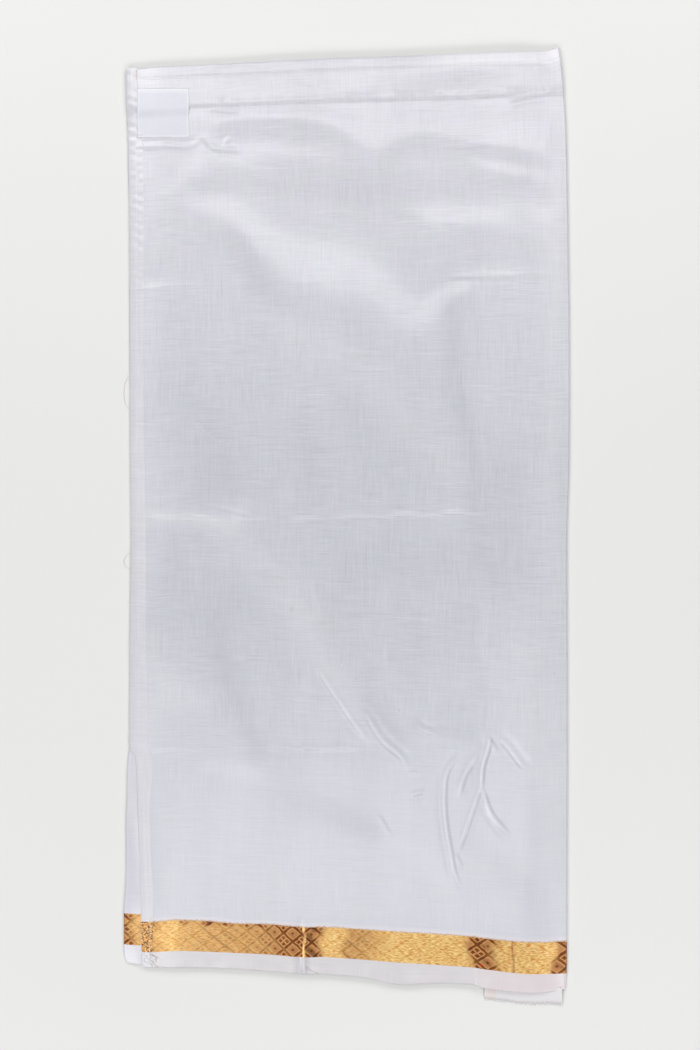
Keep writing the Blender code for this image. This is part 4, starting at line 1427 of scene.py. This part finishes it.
def hem_zari():
    """The border's reverse, turned up in the hem: brown, with rows of small gilt floats."""
    reverse = Finish("hem_zari", Roughness=0.45, Metallic=0.2)
    across, along = reverse.woven()
    blotch = reverse.noise(across / 2.6, along / 2.6, seed=5.0)
    float_spot = reverse.noise(across / 2.2, along / 1.5, seed=7.0)
    thread = reverse.noise(across / 3.0, along / 1.2, seed=8.0)
    brown = reverse.blend(blotch.eased(0.40, 0.58), paint(96, 48, 0), paint(216, 158, 84))
    brown = reverse.blend((thread - 0.4) * 1.2, brown, paint(206, 146, 70))
    bright = float_spot.eased(0.56, 0.66)
    reverse.surface("Base Color", reverse.blend(bright * 0.8, brown, paint(252, 218, 158)))
    reverse.bump(blotch + float_spot, 0.08)
    return reverse


hem_silk = silk("hem_silk", (206, 206, 212), (224, 223, 229), roughness=0.21)

# Its sewn end beside the waistband is a shade greyer
_, y, _ = hem_silk.place()
hem_silk.over(y.eased(440.0, 480.0, 0.0, 0.6), paint(203, 203, 210))
for name, finish, slot, low_y, high_y, width, count, sewing in (
    ("side_hem", hem_silk, "white_silk", ZARI_TOP_Y, HEM_TOP_Y, 0.021, 900,
     [hem_stitches, tack_stitches, top_stitches]),
    ("side_hem_zari", hem_zari(), "gold_zari", ZARI_FOOT_Y, ZARI_TOP_Y, 0.019, 36,
     [border_stitches]),
    ("side_hem_foot", hem_silk, "white_silk", FOOT_Y, ZARI_FOOT_Y, 0.018, 30, [loose_ends]),
):
    hem_points, hem_places = hem_rows(np.linspace(low_y, high_y, count))
    hem = sheet_object(name + "_cloth", hem_points, hem_places, finish)
    lay(hem, name, (width, (high_y - low_y) * MM))


# ---------------------------------------------------------------- Label
# One woven satin label, sewn on across the waistband's seam near the free end. Its upper edge is
# folded over and painted lighter, a painted highlight, as is its rim. It is left bare.

# Its left side, its size, and the y of its top and its foot at its left and right corners
LABEL_LEFT_X = -236.2
LABEL_WIDTH, LABEL_HEIGHT = 62.0, 56.0
LABEL_TOP = (501.9, 499.0)
LABEL_FOOT = (446.2, 443.6)
LABEL_WALL = 0.1
LABEL_FOLD = 0.095
LABEL_ACROSS, LABEL_DOWN = 48, 56


def label_finish():
    """Woven satin, painted lighter at its rim and over its folded edge, as painted highlights."""
    satin = Finish("label_satin", Roughness=0.36, Specular_IOR_Level=0.5, Sheen_Weight=0.1)
    across, along = satin.woven()
    rib = satin.noise(across / 12.0, (along / 0.5).floor() * 2.7, seed=3.0)
    cross = satin.noise((across / 0.5).floor() * 2.7, along / 9.0, seed=5.0)
    cloud = satin.noise(across / 16.0, along / 12.0, seed=8.0, detail=2.0)
    shade = (rib + cross) * 0.35 + cloud * 0.3
    plain = satin.blend(shade, paint(207, 208, 218), paint(222, 222, 231))
    # Its folded edge and its rim are painted lighter: painted highlights
    satin.surface("Base Color", satin.blend(satin.tagged("folded"), plain, paint(222, 222, 230)))
    satin.over(satin.tagged("painted_rim_light") * 0.5, paint(240, 240, 245))
    satin.bump(rib + cross, 0.03)
    return satin


def label_rows():
    """Points and weave places of the label, and how far each is folded and near its rim."""
    across = np.linspace(0.0, 1.0, LABEL_ACROSS)
    down = np.linspace(1.0, 0.0, LABEL_DOWN)[:, None]
    xs = LABEL_LEFT_X + LABEL_WIDTH * across + 0.4 * np.sin(down * 7.0)
    upper = np.interp(across, (0.0, 1.0), LABEL_TOP)
    lower = np.interp(across, (0.0, 1.0), LABEL_FOOT)
    ys = upper + (lower - upper) * down
    over_band = BAND_RISE * smooth(BAND_SEAM_Y - 8.0, BAND_SEAM_Y + 3.0, ys)
    inside = np.sin(across * math.pi) * np.sin(down * math.pi)
    lift = 0.11 + 0.32 * inside * (1.0 + 0.6 * np.sin(across * 5.0 + 1.0) * np.sin(down * 6.0))
    fold = smooth(LABEL_FOLD + 0.03, LABEL_FOLD - 0.03, down) + 0.0 * across
    lift += 0.05 * fold + 0.40 * smooth(-229.0, -232.5, xs)
    from_side = LABEL_WIDTH * np.minimum(across, 1.0 - across)
    from_end = LABEL_HEIGHT * np.minimum(down, 1.0 - down)
    painted_rim_light = smooth(3.2, 0.6, np.minimum(from_side, from_end))
    points = np.stack([xs, ys, cloth_top(xs, ys) + over_band + lift], axis=-1)
    return points, points[..., :2], fold, painted_rim_light


label_points, label_places, folded, painted_rim_light = label_rows()
label = sheet_object("label_cloth", label_points, label_places, label_finish(), LABEL_WALL)
tag(label, "folded", folded)
tag(label, "painted_rim_light", painted_rim_light)


def label_top(x, y):
    """Top of the label along its sewn edge."""
    return cloth_top(x, y) + BAND_RISE + 0.30


LABEL_SEAM = ((-233.8, 501.6), (-204.0, 500.2), (-174.8, 498.6))
label_stitches = sew("label_stitches", [LABEL_SEAM], white_thread, label_top,
                     pitch=2.2, stitch=1.7, width=0.45, seed=11)
lay(label, "label", (0.062, 0.057))


# ---------------------------------------------------------------- Second stretch
# The next fold of the same cloth, which shows past the free end near the foot as a soft rounded
# fold. It too has ground, gold and selvedge.

# Where its fold lies, as points (y, x)
SECOND_FOLDS = (
    (-503.0, -249.5), (-494.0, -252.6), (-482.0, -253.4), (-446.0, -252.9), (-419.0, -251.2),
    (-286.0, -248.9), (-250.0, -247.2), (-225.0, -244.6),
)
SECOND_TOP_Y = -240.0
SECOND_ZARI_TOP_Y = -445.0
SECOND_ZARI_FOOT_Y = -481.0
SECOND_FOOT_Y = -502.0
SECOND_SINK = 0.1

# How far its fold reaches sideways, half of the fold's height, and how far inward of the fold the
# points of each row lie
SECOND_TURN = 2.1
SECOND_ROUND = 0.75
SECOND_FLAT = (40.0, 30.0, 24.0, 20.0, 16.5, 14.0, 12.0, 10.5, 9.0, 7.6, 6.3, 5.1, 4.0, 3.0, 2.1)
SECOND_TURN_STEPS = 8
SECOND_LIP = 9.0
SECOND_WEAVE_X = -268.0


def second_rows(ys):
    """Points and weave places of the second stretch, in rows that start under its fold."""
    ys = np.asarray(ys, float)[:, None]
    fold, front_edge = curve_at(SECOND_FOLDS, ys) + 0.25 * np.sin(ys / 13.0), free_end(ys)
    inward = np.array(SECOND_FLAT)
    top = stack_top(np.maximum(fold + inward, front_edge), ys)
    top = top - SECOND_SINK - 0.6 * smooth(-1.0, 9.0, fold + inward - front_edge)
    top = top - 1.2 * smooth(-266.0, -240.0, ys)
    wave = 0.22 * np.sin(ys / 19.0 + inward / 5.0) + 0.14 * np.sin(ys / 7.7 + 1.0)
    top = top + wave - 1.5 * fade(inward, 9.0, 1.5)
    centre = top[:, -1:] - SECOND_ROUND
    angles = math.pi * np.arange(1, SECOND_TURN_STEPS + 1) / SECOND_TURN_STEPS
    turn = fold + SECOND_TURN * (1.0 - np.sin(angles))
    x = np.hstack([fold + inward, turn, fold + SECOND_LIP])[:, ::-1]
    z = np.hstack([top, centre + SECOND_ROUND * np.cos(angles), centre - SECOND_ROUND])[:, ::-1]
    return laid_rows(x, ys + 0.0 * x, z, SECOND_WEAVE_X, ys)


# Where one of its columns of eyed diamonds stands, and how far apart they are
SECOND_DIAMOND_X = -231.0
DIAMOND_WIDTH = 26.0

second_silk = silk("second_silk", (206, 205, 213), (221, 220, 228))
for name, finish, slot, low_y, high_y, count in (
    ("second_stretch", second_silk, "white_silk", SECOND_ZARI_TOP_Y, SECOND_TOP_Y, 110),
    ("second_zari", zari("second_zari", SECOND_ZARI_FOOT_Y), "gold_zari",
     SECOND_ZARI_FOOT_Y, SECOND_ZARI_TOP_Y, 24),
    ("second_selvedge", second_silk, "white_silk", SECOND_FOOT_Y, SECOND_ZARI_FOOT_Y, 12),
):
    second_points, second_places = second_rows(np.linspace(low_y, high_y, count))
    second = sheet_object(name + "_cloth", second_points, second_places, finish)
    if slot == "gold_zari":
        tag(second, "turned", painted_gilt_shade(second_points[..., 0], second_points[..., 1]))
        tag(second, "diamond", (second_points[..., 0] - SECOND_DIAMOND_X) / DIAMOND_WIDTH)
    lay(second, name, (0.055, (high_y - low_y) * MM))


# ---------------------------------------------------------------- Inner end
# The cloth's other free end, which comes out from under the foot at the right and settles on the
# table in slack waves. Its very edge is a loose weave with a few coloured picks.

INNER_LEFT_X, INNER_RIGHT_X = 161.5, 246.2
INNER_FOOT_LEFT_Y, INNER_FOOT_RIGHT_Y = -525.5, -527.5
INNER_TUCK = 2.6
FOOT_INSET = 3.4
INNER_WALL = 0.25
INNER_ROWS, INNER_COLUMNS = 26, 96


def hidden_foot(x):
    """The hidden folds' open edge at the foot."""
    return place_y(x, np.full(np.shape(x), FOOT_Y)) + FOOT_INSET


def inner_end_rows():
    """Points and weave places of the inner end, row by row from its free edge."""
    across = np.linspace(0.0, 1.0, INNER_COLUMNS)
    down = np.linspace(1.0, 0.0, INNER_ROWS)[:, None]
    xs = INNER_LEFT_X + (INNER_RIGHT_X - INNER_LEFT_X) * across + 0.0 * down
    start = hidden_foot(xs) - 0.6
    end = INNER_FOOT_LEFT_Y + (INNER_FOOT_RIGHT_Y - INNER_FOOT_LEFT_Y) * across
    end = end + 0.7 * np.sin(across * 9.0) + 0.3 * np.sin(across * 23.0 + 1.0)
    ys = start + (end - start) * down
    lift = INNER_WALL + INNER_TUCK * (1.0 - down ** 1.6)
    lift = lift + 0.55 * down * (1.0 - np.cos(across * 4.6 * math.pi)) * (1.15 - down)
    lift = lift + 0.18 * down * np.sin(across * 31.0 + down * 2.0)
    points = np.stack([xs, ys, np.maximum(lift, INNER_WALL)], axis=-1)
    return points, points[..., :2]


inner_silk = silk("inner_silk", (222, 220, 222), (237, 235, 237))

# A patch of pale orange picks in its corner, and an open fringe along its edge
x, y, _ = inner_silk.place()
picks = spot((x / 3.3).fraction() - 0.5, (y / 3.0).fraction() - 0.5, 0.14, 0.05)
picks = picks * x.eased(174.8, 173.8) * y.eased(-523.4, -522.6)
inner_silk.over(picks * 0.5, paint(238, 196, 172))
down = inner_silk.tagged("down")
fringe = inner_silk.noise(x / 1.6, y / 14.0, seed=61.0, detail=2.0)
inner_silk.surface("Alpha", (down + (fringe - 0.5) * 0.22).eased(1.0, 0.62))
inner_points, inner_places = inner_end_rows()
inner_end = sheet_object("inner_end_cloth", inner_points, inner_places, inner_silk, INNER_WALL)
tag(inner_end, "down", np.repeat(np.linspace(1.0, 0.0, INNER_ROWS), INNER_COLUMNS))
lay(inner_end, "inner_end", (0.085, 0.022))


# ---------------------------------------------------------------- Hidden folds
# Every other fold of the cloth, between the front stretch and the table. Only the edges show: a
# book of thin rounded lips, gilt where the border's folds lie on each other.

LAYERS = 7
LAYER_STEPS = 6
HIDDEN_SINK = 0.85
EDGE_INSET = 1.6
HIDDEN_TOP_Y = 521.6
HIDDEN_ROWS, HIDDEN_COLUMNS = 150, 60
LAYER_SPREAD = 3.2


def hidden_left(y):
    """The hidden folds' open edge on the left: the second stretch's near the foot."""
    second = curve_at(SECOND_FOLDS, y) + 1.2
    return np.where(y > SECOND_TOP_Y + 6.0, free_end(y), second) + EDGE_INSET


def hidden_folds():
    """Points of the stack's cap, those at its edge, and rings of points from the table up."""
    ys = spaced(FOOT_Y + FOOT_INSET, HIDDEN_TOP_Y, HIDDEN_ROWS, ((SECOND_TOP_Y, 12.0, 1.0),))
    ys = ys[:, None]
    shares = np.linspace(0.0, 1.0, HIDDEN_COLUMNS)
    left, right = hidden_left(ys), fold_centre(ys) + fold_radius(ys) * 0.35
    xs = left + (right - left) * shares
    lines = place_y(xs, ys)
    lines = lines + 8.5 * smooth(-225.0, -231.0, xs) * np.clip((-430.0 - ys) / 70.0, 0.0, 1.0)
    under_second = smooth(SECOND_TOP_Y + 12.0, SECOND_TOP_Y, ys) * smooth(32.0, 26.0, xs - left)
    tops = cloth_top(xs, lines) - HIDDEN_SINK - 1.9 * under_second
    grid = np.stack([xs, lines, tops], axis=-1)
    index = numbered(grid.shape[:2])
    loop = np.concatenate([index[0, :-1], index[:-1, -1], index[-1, :0:-1], index[:0:-1, 0]])
    edge = grid.reshape(-1, 3)[loop]
    row, column = np.divmod(loop, HIDDEN_COLUMNS)
    outward = np.stack([-1.0 * (column == 0), 1.0 * (row == HIDDEN_ROWS - 1) - 1.0 * (row == 0),
                        0.0 * row], axis=-1)
    run = np.cumsum(np.hypot(*(edge - np.roll(edge, 1, axis=0))[:, :2].T))
    spreading = smooth(120.0, 200.0, edge[:, 1])
    rings = []
    for step in range(LAYERS * LAYER_STEPS):
        share = step / (LAYERS * LAYER_STEPS)
        layer, within = divmod(step, LAYER_STEPS)
        bulge = 0.9 * math.sin(math.pi * (within + 0.5) / LAYER_STEPS) ** 0.6 - 0.9
        stagger = 0.45 * np.sin(run / 41.0 + layer * 2.4) + 0.3 * np.sin(run / 13.0 + layer * 1.7)
        out = bulge + stagger - 0.5 + LAYER_SPREAD * (1.0 - share) * spreading
        rings.append(edge * (1.0, 1.0, share) + outward * out[:, None])
    return grid.reshape(-1, 3), loop, rings


cap, loop, rings = hidden_folds()
ring_index = numbered((len(rings), len(loop)))
sides = np.vstack([ring_index, ring_index.size + loop])
cap_index = numbered((HIDDEN_ROWS, HIDDEN_COLUMNS), ring_index.size)
faces = quads(np.hstack([sides, sides[:, :1]])).tolist() + quads(cap_index).tolist()
faces.append(ring_index[0, ::-1].tolist())


def edge_finish():
    """The folds' edges: white, gilt beside the border, and streaked along the layers."""
    edges = Finish("layer_edges", Roughness=0.5, Specular_IOR_Level=0.3)
    x, y, z = edges.place()
    streak = edges.noise(x / 30.0 + y / 30.0, z / 0.35, seed=4.0)
    white = edges.blend(streak, paint(196, 196, 204), paint(216, 215, 222))
    gilt = edges.blend(streak, paint(168, 112, 48), paint(238, 190, 108))
    beside = y.eased(-481.5, -480.5) * y.eased(-444.5, -445.5)
    edges.surface("Base Color", edges.blend(beside, white, gilt))
    edges.bump(streak, 0.05)
    return edges


folded_layers = mesh_object("hidden_folds", np.concatenate([*rings, cap]), faces, edge_finish())
lay(folded_layers, "folded_layers", (0.505, 1.028))
